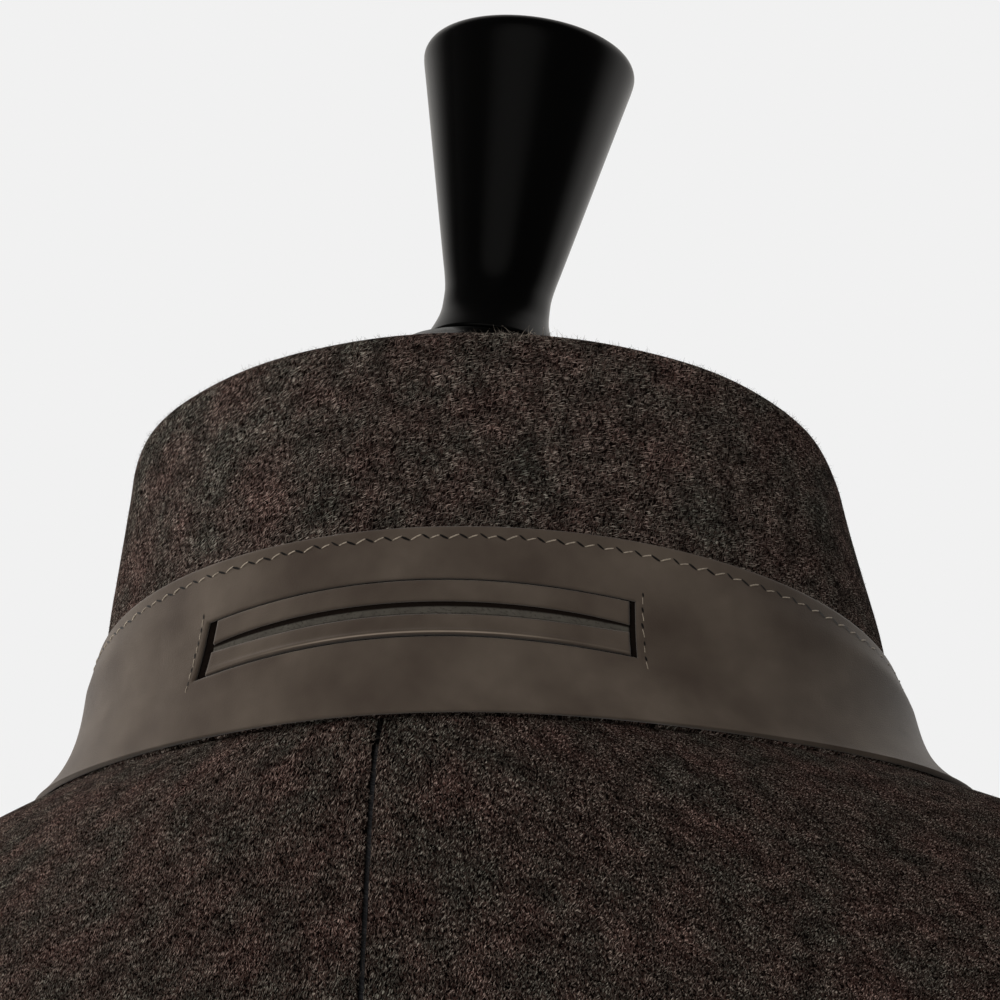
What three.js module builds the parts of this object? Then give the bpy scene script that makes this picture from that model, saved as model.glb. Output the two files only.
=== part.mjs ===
// A jersey coat, its collar turned up, on a limbless dress form with a pole stand.
// Millimetres, +Z up. The coat's front faces -Y and its left side is +X.
// The origin is the centre of the base's underside.
import * as THREE from 'three';

const DEG = Math.PI / 180;

// Cloth and seams
const WOOL = 2.2;
const COLLAR_WOOL = 2.0;
const LEATHER = 1.2;
const STRIP = 0.4;
const SEAM = 0.3;

// The body of the coat, level by level from hem to neckline. side is the height at the side,
// rise how far the back is above it, dip how much further the front falls, sag the drop between
// back and side, half the half-width, back and front the depths from the middle, and square how
// full the corners are.
const BODY_LEVELS = [
  { at: 'hem', side: 450, rise: 0, dip: 0, sag: 0, half: 228, back: 143, front: 138, square: 2.2 },
  { at: 'thigh', side: 640, rise: 0, dip: 0, sag: 0, half: 220, back: 137, front: 133, square: 2.2 },
  { at: 'hip', side: 820, rise: 0, dip: 0, sag: 0, half: 210, back: 129, front: 127, square: 2.25 },
  { at: 'waist', side: 1000, rise: 0, dip: 0, sag: 0, half: 197, back: 116, front: 119, square: 2.35 },
  { at: 'chest', side: 1110, rise: 0, dip: 0, sag: 0, half: 198, back: 119, front: 123, square: 2.45 },
  { at: 'underarm', side: 1185, rise: 0, dip: 4, sag: 0, half: 201, back: 121, front: 124, square: 2.5 },
  { at: 'armhole', side: 1290, rise: 2, dip: 30, sag: 0, half: 210, back: 116, front: 119, square: 2.7 },
  { at: 'shoulder', side: 1372, rise: -20, dip: 96, sag: 0, half: 222, back: 105, front: 113, square: 2.35 },
  { at: 'yoke', side: 1382, rise: -4, dip: 75, sag: 0, half: 196, back: 98, front: 106, square: 2.15 },
  { at: 'slope', side: 1398.5, rise: 11, dip: 55, sag: 0, half: 163, back: 88, front: 98, square: 2.05 },
  { at: 'neck base', side: 1412, rise: 25, dip: 33, sag: 1, half: 131, back: 78.5, front: 89, square: 2 },
  { at: 'neckline', side: 1419, rise: 31, dip: 18, sag: 2, half: 107, back: 71.5, front: 80, square: 2 },
];
const UNDERARM = 5;
const ARMHOLE_MIDDLE = 6;
const SHOULDER = 7;
const NECKLINE = 11;
const ARMHOLE_HALF_ANGLE = 31;
const ARMHOLE_STEPS = 10;
const SIDE_ANGLE = 90;
const PANEL_STEP = 10;
const ABOVE_SHOULDER = 7.45;
// The centre back seam's distance from the middle at the neckline, what it gains a level further
// down, and the level under which it comes back to the middle
const BACK_SEAM_SHIFT = 5.3;
const BACK_SEAM_LEAN = 0.55;
const BACK_SEAM_START = 3;

// Soft folds that stand out of the skirt. angle and halfWidth are degrees round the body,
// depth the height at the hem, top the level where the fold has faded out.
const SKIRT_FOLDS = [
  { angle: -152, halfWidth: 9, depth: 7, top: 3.2 },
  { angle: -121, halfWidth: 12, depth: 10, top: 3.6 },
  { angle: -58, halfWidth: 13, depth: 9, top: 3.0 },
  { angle: -27, halfWidth: 10, depth: 6, top: 2.6 },
  { angle: 22, halfWidth: 11, depth: 8, top: 3.3 },
  { angle: 64, halfWidth: 12, depth: 10, top: 2.8 },
  { angle: 118, halfWidth: 13, depth: 9, top: 3.4 },
  { angle: 149, halfWidth: 9, depth: 6, top: 2.9 },
];
const FOLD_FADE = 1.3;

// The front closing
const LAP = 28;
const LAP_GAP = 1.1;
const LAP_START = 4;
const LAP_EASE = 30;
const BUTTON_HEIGHTS = [1325, 1215, 1105, 995];
const BUTTON_RADIUS = 12.5;
const BUTTON_THICK = 4.2;
const BUTTON_BEVEL = 1.1;
const BUTTON_SIDES = 20;
const BUTTON_HOLE_RADIUS = 2.4;
const BUTTON_HOLE_SIDES = 6;
const BUTTON_HOLE_SPREAD = 3.1;
const BUTTON_GAP = 0.6;

// The sleeve below its head: height, middle, half-width across and half-depth front to back
const SLEEVE_LEVELS = [
  { at: 'upper arm', z: 1130, x: 243, y: -2, across: 38, deep: 80 },
  { at: 'above elbow', z: 1040, x: 241, y: -3, across: 36, deep: 75 },
  { at: 'elbow', z: 950, x: 241, y: -8, across: 34, deep: 70 },
  { at: 'forearm', z: 850, x: 247, y: -15, across: 31, deep: 63 },
  { at: 'cuff', z: 750, x: 253, y: -22, across: 29, deep: 58 },
];
const HEAD_START_PULL = 0.45;
const HEAD_END_PULL = 1.0;
const HEAD_SLOPE = 20;
const HEAD_ROWS = [0.8, 0.62, 0.45, 0.3, 0.18, 0.08, 0];
const ARM_STEPS = 9;

// Hollows in the hanging sleeve. round is degrees from the outer side towards the back.
const SLEEVE_FOLDS = [
  { z: 1065, round: 120, tall: 42, wide: 55, depth: 5 },
  { z: 985, round: 250, tall: 30, wide: 60, depth: 6 },
  { z: 925, round: 215, tall: 26, wide: 50, depth: 5 },
  { z: 868, round: 60, tall: 34, wide: 55, depth: 4 },
];

// The collar, on the outer face of the under collar, in the columns of the body's table
const COLLAR_LEVELS = [
  { at: 'neckline', side: 1419, rise: 31, dip: 18, sag: 2, half: 107, back: 71.5, front: 80, square: 2 },
  { at: 'band top', side: 1447, rise: 40, dip: 7, sag: 0, half: 88.8, back: 60, front: 74, square: 2 },
  { at: 'top edge', side: 1494, rise: 33, dip: 25, sag: 0, half: 79, back: 49, front: 70, square: 2 },
];
const COLLAR_HEIGHT = 79;
const BAND_HEIGHT = 38;
const FALL_BULGE = 1.4;
// The band's sides curve in over this height, most near the bottom.
const BAND_HOLLOW = 3.2;
const HOLLOW_HEIGHT = 30;
const HOLLOW_SHAPE = 0.7;
const COLLAR_END_ANGLE = 162;
const COLLAR_LOW_ROW = 8;
const COLLAR_HIGH_ROW = 59;

// The slot in the band, as heights above the neck seam at the centre back
const SLOT_HALF_ANGLE = 29;
const SLOT_BOTTOM = 15.5;
const SLOT_GAP_BOTTOM = 20.1;
const SLOT_GAP_TOP = 22.6;
const SLOT_TOP = 27.2;
const SLOT_SAG = 4.1;
const SLOT_SAG_TURNS = 1.5;
const SLOT_LEAN = 1.0;
const SLOT_END_GAP = 0.9;
const SLOT_STEPS = 8;
const COLLAR_SIDE_STEPS = 12;

// The dress form, in the columns of the body's table
const FORM_LEVELS = [
  { at: 'bottom', side: 770, rise: 0, dip: 0, sag: 0, half: 156, back: 100, front: 96, square: 2.1 },
  { at: 'hip', side: 865, rise: 0, dip: 0, sag: 0, half: 172, back: 111, front: 103, square: 2.1 },
  { at: 'waist', side: 1030, rise: 0, dip: 0, sag: 0, half: 147, back: 93, front: 98, square: 2.1 },
  { at: 'chest', side: 1180, rise: 0, dip: 2, sag: 0, half: 170, back: 106, front: 112, square: 2.2 },
  { at: 'arm plate', side: 1290, rise: 0, dip: 26, sag: 0, half: 184, back: 105, front: 110, square: 2.3 },
  { at: 'arm top', side: 1356, rise: -14, dip: 82, sag: 0, half: 193, back: 99, front: 105, square: 2.2 },
];
const NECK_LEVELS = [
  { at: 'neck foot', side: 1414, rise: 28, dip: 18, sag: 0, half: 82, back: 60, front: 67, square: 2 },
  { at: 'neck', side: 1444, rise: 18, dip: 8, sag: 0, half: 62, back: 50, front: 57, square: 2 },
  { at: 'neck top', side: 1474, rise: 17, dip: 0, sag: 0, half: 50, back: 43, front: 51, square: 2 },
];
const FORM_ROWS = [0, 0.5, 1, 1.6, 2.2, 2.8, 3.4, 4, 4.6, 5];
const SEATED_ROWS = [8, 8.6, 9.3, 10, 10.5];
const SEAT_GAP = 0.5;
const NECK_RADIUS = 42;
const NECK_TOP = new THREE.Vector3(1.4, -3, 1501.5);
const NECK_TILT_FORWARD = 20;
const NECK_TILT_SIDE = 5.9;
const POLE_RADIUS = 16;
const FLANGE_RADIUS = 60;
const FLANGE_THICK = 10;
const BASE_RADIUS = 185;
const BASE_EDGE = 7;
const BASE_BEVEL = 2;
const BASE_HUB = 16;
const BASE_HUB_RADIUS = 32;
const BASE_SIDES = 36;
const ROUND_SIDES = 24;

const WOOL_LOOK = { color: 0x4b443e, roughness: 0.95, metalness: 0 };
const COLLAR_LOOK = { color: 0x443c37, roughness: 0.95, metalness: 0 };
const LEATHER_LOOK = { color: 0x4d453f, roughness: 0.62, metalness: 0 };
const STRIP_LOOK = { color: 0x2b2c2d, roughness: 0.9, metalness: 0 };
const BUTTON_LOOK = { color: 0x2a221d, roughness: 0.4, metalness: 0 };
const FORM_LOOK = { color: 0x2a2a2c, roughness: 0.85, metalness: 0 };
const GLOSS_LOOK = { color: 0x0c0c0d, roughness: 0.12, metalness: 0 };
const STEEL_LOOK = { color: 0x1b1b1d, roughness: 0.35, metalness: 0.8 };

const RING_COLUMNS = ['side', 'rise', 'dip', 'sag', 'half', 'back', 'front', 'square'];

const coat = new THREE.Group();

function add(name, geometry, look) {
  const mesh = new THREE.Mesh(geometry, new THREE.MeshStandardMaterial(look));
  mesh.name = name;
  coat.add(mesh);
  return mesh;
}

// Smooth lookup between a table's rows: the curve goes through every row's value.
function between(table, column, place) {
  const last = table.length - 1;
  const row = Math.min(Math.floor(place), last - 1);
  const f = place - row;
  const value = (k) => table[THREE.MathUtils.clamp(k, 0, last)][column];
  const [a, b, c, d] = [value(row - 1), value(row), value(row + 1), value(row + 2)];
  const bend = 2 * a - 5 * b + 4 * c - d;
  const twist = 3 * b - 3 * c + d - a;
  return 0.5 * (2 * b + (c - a) * f + bend * f * f + twist * f ** 3);
}

function levelAt(table, place) {
  const level = {};
  for (const column of RING_COLUMNS) level[column] = between(table, column, place);
  return level;
}

// A point on a level's ring. Angle 0 is the centre back and 90 the left side.
function ringPoint(level, angle) {
  const s = Math.sin(angle * DEG);
  const c = Math.cos(angle * DEG);
  const { side, rise, dip, sag, half, back, front, square } = level;
  const full = (Math.abs(s) ** square + Math.abs(c) ** square) ** (-1 / square);
  const depth = c > 0 ? back : front;
  const z = side + rise * c - dip * Math.max(0, -c) ** 2 - sag * (2 * s * c) ** 2;
  return new THREE.Vector3(half * s * full, depth * c * full, z);
}

function angleBetween(a, b) {
  return ((a - b + 540) % 360) - 180;
}

function skirtFold(level, angle) {
  let out = 0;
  for (const { angle: middle, halfWidth, depth, top } of SKIRT_FOLDS) {
    const reach = Math.max(0, 1 - level / top);
    out += depth * reach ** FOLD_FADE * Math.exp(-((angleBetween(angle, middle) / halfWidth) ** 2));
  }
  return out;
}

// The coat's outer face
function coatPoint(level, angle) {
  const point = ringPoint(levelAt(BODY_LEVELS, level), angle);
  const out = new THREE.Vector3(Math.sin(angle * DEG), Math.cos(angle * DEG), 0);
  return point.addScaledVector(out, skirtFold(level, angle));
}

// The left front rides over the right one, and comes back to the coat's face beside it.
function lapPoint(level, angle) {
  const point = coatPoint(level, angle);
  const ease = THREE.MathUtils.smoothstep(point.x, LAP + LAP_START, LAP + LAP_EASE);
  point.y -= (1 - ease) * (WOOL + LAP_GAP);
  return point;
}

// The outward normal where rows rise and columns run clockwise seen from above
const NORMAL_STEP = { row: 0.01, column: 0.1 };

function normalAt(surface, row, column) {
  const { row: dr, column: dc } = NORMAL_STEP;
  const up = surface(row + dr, column).sub(surface(row - dr, column));
  const along = surface(row, column + dc).sub(surface(row, column - dc));
  return up.cross(along).normalize();
}

// A wall on a grid of [row, column] places, between two heights over its surface.
// Cells left out by present make openings, and every edge is closed.
function wall(surface, grid, outer, inner, { ring = false, flip = false, present = () => true } = {}) {
  const rows = grid.length;
  const columns = grid[0].length;
  const positions = [];
  for (const height of [outer, inner]) {
    for (const line of grid) {
      for (const [row, column] of line) {
        const point = surface(row, column).addScaledVector(normalAt(surface, row, column), height);
        positions.push(point.x, point.y, point.z);
      }
    }
  }
  const at = (i, j, layer = 0) => (layer * rows + i) * columns + (j % columns);
  const cellColumns = ring ? columns : columns - 1;
  const isThere = (i, j) => {
    const k = ring ? (j + columns) % columns : j;
    return i >= 0 && i < rows - 1 && k >= 0 && k < cellColumns && present(i, k);
  };
  const index = [];
  for (let i = 0; i < rows - 1; i++) {
    for (let j = 0; j < cellColumns; j++) {
      if (!isThere(i, j)) continue;
      const corners = [[i, j], [i + 1, j], [i + 1, j + 1], [i, j + 1]];
      const [a, b, c, d] = corners.map(([r, k]) => at(r, k));
      const [e, f, g, h] = corners.map(([r, k]) => at(r, k, 1));
      if (grid[i][j][1] >= 0) index.push(a, b, c, a, c, d, e, g, f, e, h, g);
      else index.push(a, b, d, b, c, d, e, h, f, f, h, g);
      const neighbours = [isThere(i, j - 1), isThere(i + 1, j), isThere(i, j + 1), isThere(i - 1, j)];
      const edges = [[a, b, e, f], [b, c, f, g], [c, d, g, h], [d, a, h, e]];
      edges.forEach(([p, q, pIn, qIn], k) => {
        if (!neighbours[k]) index.push(q, p, pIn, q, pIn, qIn);
      });
    }
  }
  return indexed(positions, flip ? flipped(index) : index);
}

function flipped(index) {
  const turned = [];
  for (let k = 0; k < index.length; k += 3) turned.push(index[k], index[k + 2], index[k + 1]);
  return turned;
}

// Drops the points that no face uses, so that only the solid is left
function indexed(positions, index) {
  const renumbered = new Map();
  const kept = [];
  const faces = index.map((old) => {
    if (!renumbered.has(old)) {
      renumbered.set(old, renumbered.size);
      kept.push(...positions.slice(3 * old, 3 * old + 3));
    }
    return renumbered.get(old);
  });
  const geometry = new THREE.BufferGeometry();
  geometry.setAttribute('position', new THREE.Float32BufferAttribute(kept, 3));
  geometry.setIndex(faces);
  geometry.computeVertexNormals();
  return geometry;
}

// A solid through closed rings of points, from the bottom ring to the top one
function loft(rings) {
  const columns = rings[0].length;
  const positions = rings.flat().flatMap((p) => [p.x, p.y, p.z]);
  const index = [];
  for (let i = 0; i < rings.length - 1; i++) {
    for (let j = 0; j < columns; j++) {
      const next = (j + 1) % columns;
      const [a, d] = [i * columns + j, i * columns + next];
      const [b, c] = [a + columns, d + columns];
      if (j >= columns / 2) index.push(a, b, c, a, c, d);
      else index.push(a, b, d, b, c, d);
    }
  }
  for (const [ring, isTop] of [[0, false], [rings.length - 1, true]]) {
    const middle = new THREE.Vector3();
    rings[ring].forEach((p) => middle.addScaledVector(p, 1 / columns));
    const hub = positions.length / 3;
    positions.push(middle.x, middle.y, middle.z);
    for (let j = 0; j < columns; j++) {
      const [p, q] = [ring * columns + j, ring * columns + ((j + 1) % columns)];
      index.push(...(isTop ? [hub, q, p] : [hub, p, q]));
    }
  }
  return indexed(positions, index);
}

function steps(from, to, count) {
  return Array.from({ length: count + 1 }, (_, k) => from + ((to - from) * k) / count);
}

// Body panels

// The angle where a panel stops: the side and shoulder seams, or the armhole between them
function panelEdge(level) {
  const out = (level - ARMHOLE_MIDDLE) / (SHOULDER - ARMHOLE_MIDDLE);
  const open = Math.abs(out) < 1 ? ARMHOLE_HALF_ANGLE * Math.sqrt(1 - out * out) : 0;
  return { back: SIDE_ANGLE - open, front: SIDE_ANGLE + open };
}

function seamAngle(level) {
  const reach = coatPoint(level, 1).distanceTo(coatPoint(level, 0));
  return SEAM / 2 / reach;
}

// The centre back seam hangs a little to the coat's left of the slot above it.
function backSeam(level) {
  const ease = THREE.MathUtils.smoothstep(level, BACK_SEAM_START, SHOULDER);
  const shift = ease * (BACK_SEAM_SHIFT + BACK_SEAM_LEAN * (NECKLINE - level));
  return Math.asin(shift / levelAt(BODY_LEVELS, level).half) / DEG;
}

const armholeTurns = steps(180, 0, ARMHOLE_STEPS);
const panelRows = [
  ...steps(0, BACK_SEAM_START, 5),
  ...steps(BACK_SEAM_START, UNDERARM, 4).slice(1, -1),
  ...armholeTurns.map((turn) => ARMHOLE_MIDDLE + Math.cos(turn * DEG)),
  ABOVE_SHOULDER, ...SEATED_ROWS, NECKLINE,
];
const panelColumns = SIDE_ANGLE / PANEL_STEP;

function onSide(side, level, angles) {
  return (side > 0 ? angles : angles.reverse()).map((angle) => [level, angle]);
}

// A back panel runs from the centre back seam to the side, the armhole or the shoulder.
// side is 1 for the coat's left and -1 for its right.
function backGrid(side) {
  return panelRows.map((level) => {
    const seam = seamAngle(level);
    const edge = panelEdge(level).back - seam;
    return onSide(side, level, steps(backSeam(level) + side * seam, side * edge, panelColumns));
  });
}

// A front panel runs from the side to its front edge, past the centre front.
function frontGrid(side) {
  return panelRows.map((level) => {
    const start = panelEdge(level).front + seamAngle(level);
    const edge = 180 + Math.asin(LAP / levelAt(BODY_LEVELS, level).half) / DEG;
    const angles = [...steps(start, 180, panelColumns), ...steps(180, edge, 2).slice(1)];
    return onSide(side, level, angles.map((angle) => side * angle));
  });
}

add('back_left', wall(coatPoint, backGrid(1), 0, -WOOL), WOOL_LOOK);
add('back_right', wall(coatPoint, backGrid(-1), 0, -WOOL), WOOL_LOOK);
add('front_left', wall(lapPoint, frontGrid(1), 0, -WOOL), WOOL_LOOK);
add('front_right', wall(coatPoint, frontGrid(-1), 0, -WOOL), WOOL_LOOK);

// Sleeves

// A sleeve's first ring: the armhole's edge, moved in by the seam's gap
function armholePoint(turn) {
  const level = ARMHOLE_MIDDLE + Math.cos(turn * DEG);
  const angle = SIDE_ANGLE - ARMHOLE_HALF_ANGLE * Math.sin(turn * DEG);
  const edge = coatPoint(level, angle);
  const inward = coatPoint(ARMHOLE_MIDDLE, SIDE_ANGLE).sub(edge);
  const normal = normalAt(coatPoint, level, angle);
  inward.addScaledVector(normal, -inward.dot(normal)).normalize();
  return edge.addScaledVector(inward, SEAM);
}

function sleeveRing(place, turn) {
  const at = (column) => between(SLEEVE_LEVELS, column, place);
  const [x, y] = [Math.cos(turn * DEG), Math.sin(turn * DEG)];
  const point = new THREE.Vector3(at('x') + at('across') * x, at('y') + at('deep') * y, at('z'));
  for (const { z, round, tall, wide, depth } of SLEEVE_FOLDS) {
    const away = Math.hypot((point.z - z) / tall, angleBetween(turn, round) / wide);
    point.x -= x * depth * Math.exp(-away * away);
    point.y -= y * depth * Math.exp(-away * away);
  }
  return point;
}

// Rows 0 to 1 are the sleeve's head, which leaves the armhole sideways and turns down.
// Rows past 1 follow the table to the cuff.
function sleevePoint(row, turn) {
  if (row > 1) return sleeveRing(row - 1, turn);
  const start = armholePoint(turn);
  const end = sleeveRing(0, turn);
  const length = start.distanceTo(end);
  const slope = HEAD_SLOPE * DEG * (0.5 + 0.5 * Math.cos(turn * DEG));
  const out = new THREE.Vector3(Math.cos(slope), 0, -Math.sin(slope));
  out.multiplyScalar(HEAD_START_PULL * length);
  const down = new THREE.Vector3(0, 0, -HEAD_END_PULL * length);
  const f = Math.max(row, 0);
  return start.multiplyScalar(2 * f ** 3 - 3 * f ** 2 + 1)
    .addScaledVector(out, f ** 3 - 2 * f ** 2 + f)
    .addScaledVector(end, 3 * f ** 2 - 2 * f ** 3)
    .addScaledVector(down, f ** 3 - f ** 2);
}

const sleeveRows = [...steps(SLEEVE_LEVELS.length, 1, ARM_STEPS), ...HEAD_ROWS];
const sleeveTurns = steps(0, 360, 2 * ARMHOLE_STEPS).slice(0, -1);

// side is 1 for the left sleeve and -1 for the right one, its mirror image
function addSleeve(name, side) {
  const surface = (row, turn) => {
    const point = sleevePoint(row, side * turn);
    point.x *= side;
    return point;
  };
  const grid = sleeveRows.map((row) => sleeveTurns.map((turn) => [row, turn]));
  add(name, wall(surface, grid, 0, -WOOL, { ring: true, flip: true }), WOOL_LOOK);
}

addSleeve('sleeve_left', 1);
addSleeve('sleeve_right', -1);

// Collar

// The under collar's outer face. height is measured up the centre back from the neck seam.
// The rows of the slot sag a little to each side of the centre back.
function collarPoint(height, angle) {
  const inBand = THREE.MathUtils.clamp(Math.min(height, BAND_HEIGHT - height) / COLLAR_LOW_ROW, 0, 1);
  const turned = Math.min(Math.abs(angle) * SLOT_SAG_TURNS, 180);
  const h = height - inBand * SLOT_SAG * Math.sin(turned * DEG) ** 2;
  const middle = BAND_HEIGHT / COLLAR_HEIGHT;
  const f = h / COLLAR_HEIGHT;
  const low = ((f - middle) * (f - 1)) / middle;
  const centre = (f * (f - 1)) / (middle * (middle - 1));
  const high = (f * (f - middle)) / (1 - middle);
  const level = {};
  for (const column of RING_COLUMNS) {
    const [a, b, c] = COLLAR_LEVELS.map((row) => row[column]);
    level[column] = a * low + b * centre + c * high;
  }
  const fall = THREE.MathUtils.clamp((h - BAND_HEIGHT) / (COLLAR_HEIGHT - BAND_HEIGHT), 0, 1);
  const bulge = FALL_BULGE * Math.sin(Math.PI * fall);
  for (const column of ['half', 'back', 'front']) level[column] += bulge;
  const hollow = THREE.MathUtils.clamp(h / HOLLOW_HEIGHT, 0, 1) ** HOLLOW_SHAPE;
  level.half -= BAND_HOLLOW * Math.sin(Math.PI * hollow);
  return ringPoint(level, angle);
}

const collarAngles = [
  ...steps(-COLLAR_END_ANGLE, -SLOT_HALF_ANGLE, COLLAR_SIDE_STEPS).slice(0, -1),
  ...steps(-SLOT_HALF_ANGLE, SLOT_HALF_ANGLE, SLOT_STEPS),
  ...steps(SLOT_HALF_ANGLE, COLLAR_END_ANGLE, COLLAR_SIDE_STEPS).slice(1),
];
const slotAngles = collarAngles.filter((angle) => Math.abs(angle) <= SLOT_HALF_ANGLE);
const bandRows = [SEAM, COLLAR_LOW_ROW, SLOT_BOTTOM, SLOT_GAP_BOTTOM, SLOT_GAP_TOP, SLOT_TOP, BAND_HEIGHT];
const collarRows = [...bandRows, COLLAR_HIGH_ROW, COLLAR_HEIGHT];

// The slot's ends lean: the columns of the band move to the coat's left towards its bottom edge.
function leaned(height, angle) {
  const down = THREE.MathUtils.clamp((SLOT_TOP - height) / (SLOT_TOP - SLOT_BOTTOM), 0, 1);
  const edge = THREE.MathUtils.clamp(height / COLLAR_LOW_ROW, 0, 1);
  return angle + SLOT_LEAN * down * edge * (1 - Math.abs(angle) / COLLAR_END_ANGLE);
}

function gridOf(rows, angles) {
  return rows.map((row) => angles.map((angle) => [row, leaned(row, angle)]));
}

// The slot's own pieces stop short of its edges.
function slotGrid(bottom, top) {
  const inset = 1 - SLOT_END_GAP / (SLOT_HALF_ANGLE * DEG * COLLAR_LEVELS[0].back);
  return gridOf([bottom + SEAM / 2, top - SEAM / 2], slotAngles.map((angle) => angle * inset));
}

function inSlot(row, column) {
  const height = (bandRows[row] + bandRows[row + 1]) / 2;
  const angle = (collarAngles[column] + collarAngles[column + 1]) / 2;
  return height > SLOT_BOTTOM && height < SLOT_TOP && Math.abs(angle) < SLOT_HALF_ANGLE;
}

const collarGrid = gridOf(collarRows, collarAngles);
const onCollar = SEAM + LEATHER;
const slotTopEdge = SLOT_TOP - SEAM / 2;
const slotBottomEdge = SLOT_BOTTOM + SEAM / 2;
add('collar_under', wall(collarPoint, collarGrid, 0, -COLLAR_WOOL), COLLAR_LOOK);
add('collar_top', wall(collarPoint, collarGrid, -COLLAR_WOOL - SEAM, -2 * COLLAR_WOOL - SEAM), COLLAR_LOOK);
const bandGrid = gridOf(bandRows, collarAngles);
const aroundSlot = { present: (row, column) => !inSlot(row, column) };
add('collar_band', wall(collarPoint, bandGrid, onCollar, SEAM, aroundSlot), LEATHER_LOOK);
for (const [name, bottom, top, height, look] of [
  ['slot_welt_upper', SLOT_GAP_TOP, slotTopEdge, onCollar, LEATHER_LOOK],
  ['slot_welt_lower', slotBottomEdge, SLOT_GAP_BOTTOM, onCollar, LEATHER_LOOK],
  ['slot_strip', SLOT_GAP_BOTTOM, SLOT_GAP_TOP, SEAM + STRIP, STRIP_LOOK],
]) {
  add(name, wall(collarPoint, slotGrid(bottom, top), height, SEAM), look);
}

// Buttons, on the left front at the centre line

function circle(x, y, radius, sides) {
  return steps(0, 360, sides).slice(0, -1).map((turn) => {
    const [c, s] = [Math.cos(turn * DEG), Math.sin(turn * DEG)];
    return new THREE.Vector2(x + radius * c, y + radius * s);
  });
}

function buttonGeometry() {
  const shape = new THREE.Shape(circle(0, 0, BUTTON_RADIUS - BUTTON_BEVEL, BUTTON_SIDES));
  for (const [x, y] of [[-1, -1], [1, -1], [1, 1], [-1, 1]]) {
    const [holeX, holeY] = [x * BUTTON_HOLE_SPREAD, y * BUTTON_HOLE_SPREAD];
    const hole = circle(holeX, holeY, BUTTON_HOLE_RADIUS, BUTTON_HOLE_SIDES);
    shape.holes.push(new THREE.Path(hole));
  }
  const depth = BUTTON_THICK - 2 * BUTTON_BEVEL;
  return new THREE.ExtrudeGeometry(shape, {
    depth, bevelThickness: BUTTON_BEVEL, bevelSize: BUTTON_BEVEL, bevelOffset: 0, bevelSegments: 1,
  }).translate(0, 0, BUTTON_BEVEL);
}

// The level on the centre front line at a height, found by halving
const LEVEL_CLOSE_ENOUGH = 1e-4;

function frontLevelAt(height) {
  let [low, high] = [0, NECKLINE];
  while (high - low > LEVEL_CLOSE_ENOUGH) {
    const middle = (low + high) / 2;
    if (lapPoint(middle, 180).z < height) low = middle;
    else high = middle;
  }
  return low;
}

BUTTON_HEIGHTS.forEach((height, k) => {
  const level = frontLevelAt(height);
  const normal = normalAt(lapPoint, level, 180);
  const button = add(`button_${k + 1}`, buttonGeometry(), BUTTON_LOOK);
  button.position.copy(lapPoint(level, 180)).addScaledVector(normal, BUTTON_GAP);
  button.quaternion.setFromUnitVectors(new THREE.Vector3(0, 0, 1), normal);
});

// Dress form

const formAngles = steps(-180, 180, 360 / PANEL_STEP).slice(0, -1);
const neckFrame = new THREE.Matrix4()
  .makeRotationFromEuler(new THREE.Euler(NECK_TILT_FORWARD * DEG, -NECK_TILT_SIDE * DEG, 0))
  .setPosition(NECK_TOP);

// Under the shoulders the form follows the coat's inner face, so that the coat is seated on it.
function seatedPoint(level, angle) {
  const overBack = Math.max(0, 1 - Math.abs(angle) / SIDE_ANGLE);
  const column = angle + overBack * backSeam(level);
  const normal = normalAt(coatPoint, level, column);
  return coatPoint(level, column).addScaledVector(normal, -WOOL - SEAT_GAP);
}

function neckTopPoint(angle) {
  const out = new THREE.Vector3(Math.sin(angle * DEG), Math.cos(angle * DEG), 0);
  return out.multiplyScalar(NECK_RADIUS).applyMatrix4(neckFrame);
}

add('form_torso', loft([
  ...FORM_ROWS.map((place) => formAngles.map((angle) => ringPoint(levelAt(FORM_LEVELS, place), angle))),
  ...SEATED_ROWS.map((level) => formAngles.map((angle) => seatedPoint(level, angle))),
  ...NECK_LEVELS.map((level) => formAngles.map((angle) => ringPoint(level, angle))),
  formAngles.map(neckTopPoint),
]), FORM_LOOK);

// The neck's cap and the knob on it, as outlines of [radius, height above the neck's top]
const CAP_OUTLINE = [
  [0, 0.3], [42, 0.3], [43.5, 2], [43.5, 5], [41, 9], [32, 14.5], [23, 20], [19, 25], [0, 25],
];
const KNOB_OUTLINE = [
  [0, 25.3], [15.4, 25.3], [14.4, 27.5], [13.2, 30.2], [12.3, 33], [12.1, 36.5], [12.2, 40.5], [14.2, 49],
  [23.4, 90], [24.6, 95], [24.6, 96.6], [23.7, 98.1], [21.5, 98.8], [0, 99],
];

function addTurned(name, outline, look, sides = ROUND_SIDES) {
  const points = outline.map(([radius, height]) => new THREE.Vector2(radius, height));
  const geometry = new THREE.LatheGeometry(points, sides).rotateX(90 * DEG);
  return add(name, geometry, look);
}

for (const [name, outline] of [['form_neck_cap', CAP_OUTLINE], ['form_knob', KNOB_OUTLINE]]) {
  addTurned(name, outline, GLOSS_LOOK).applyMatrix4(neckFrame);
}

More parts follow.
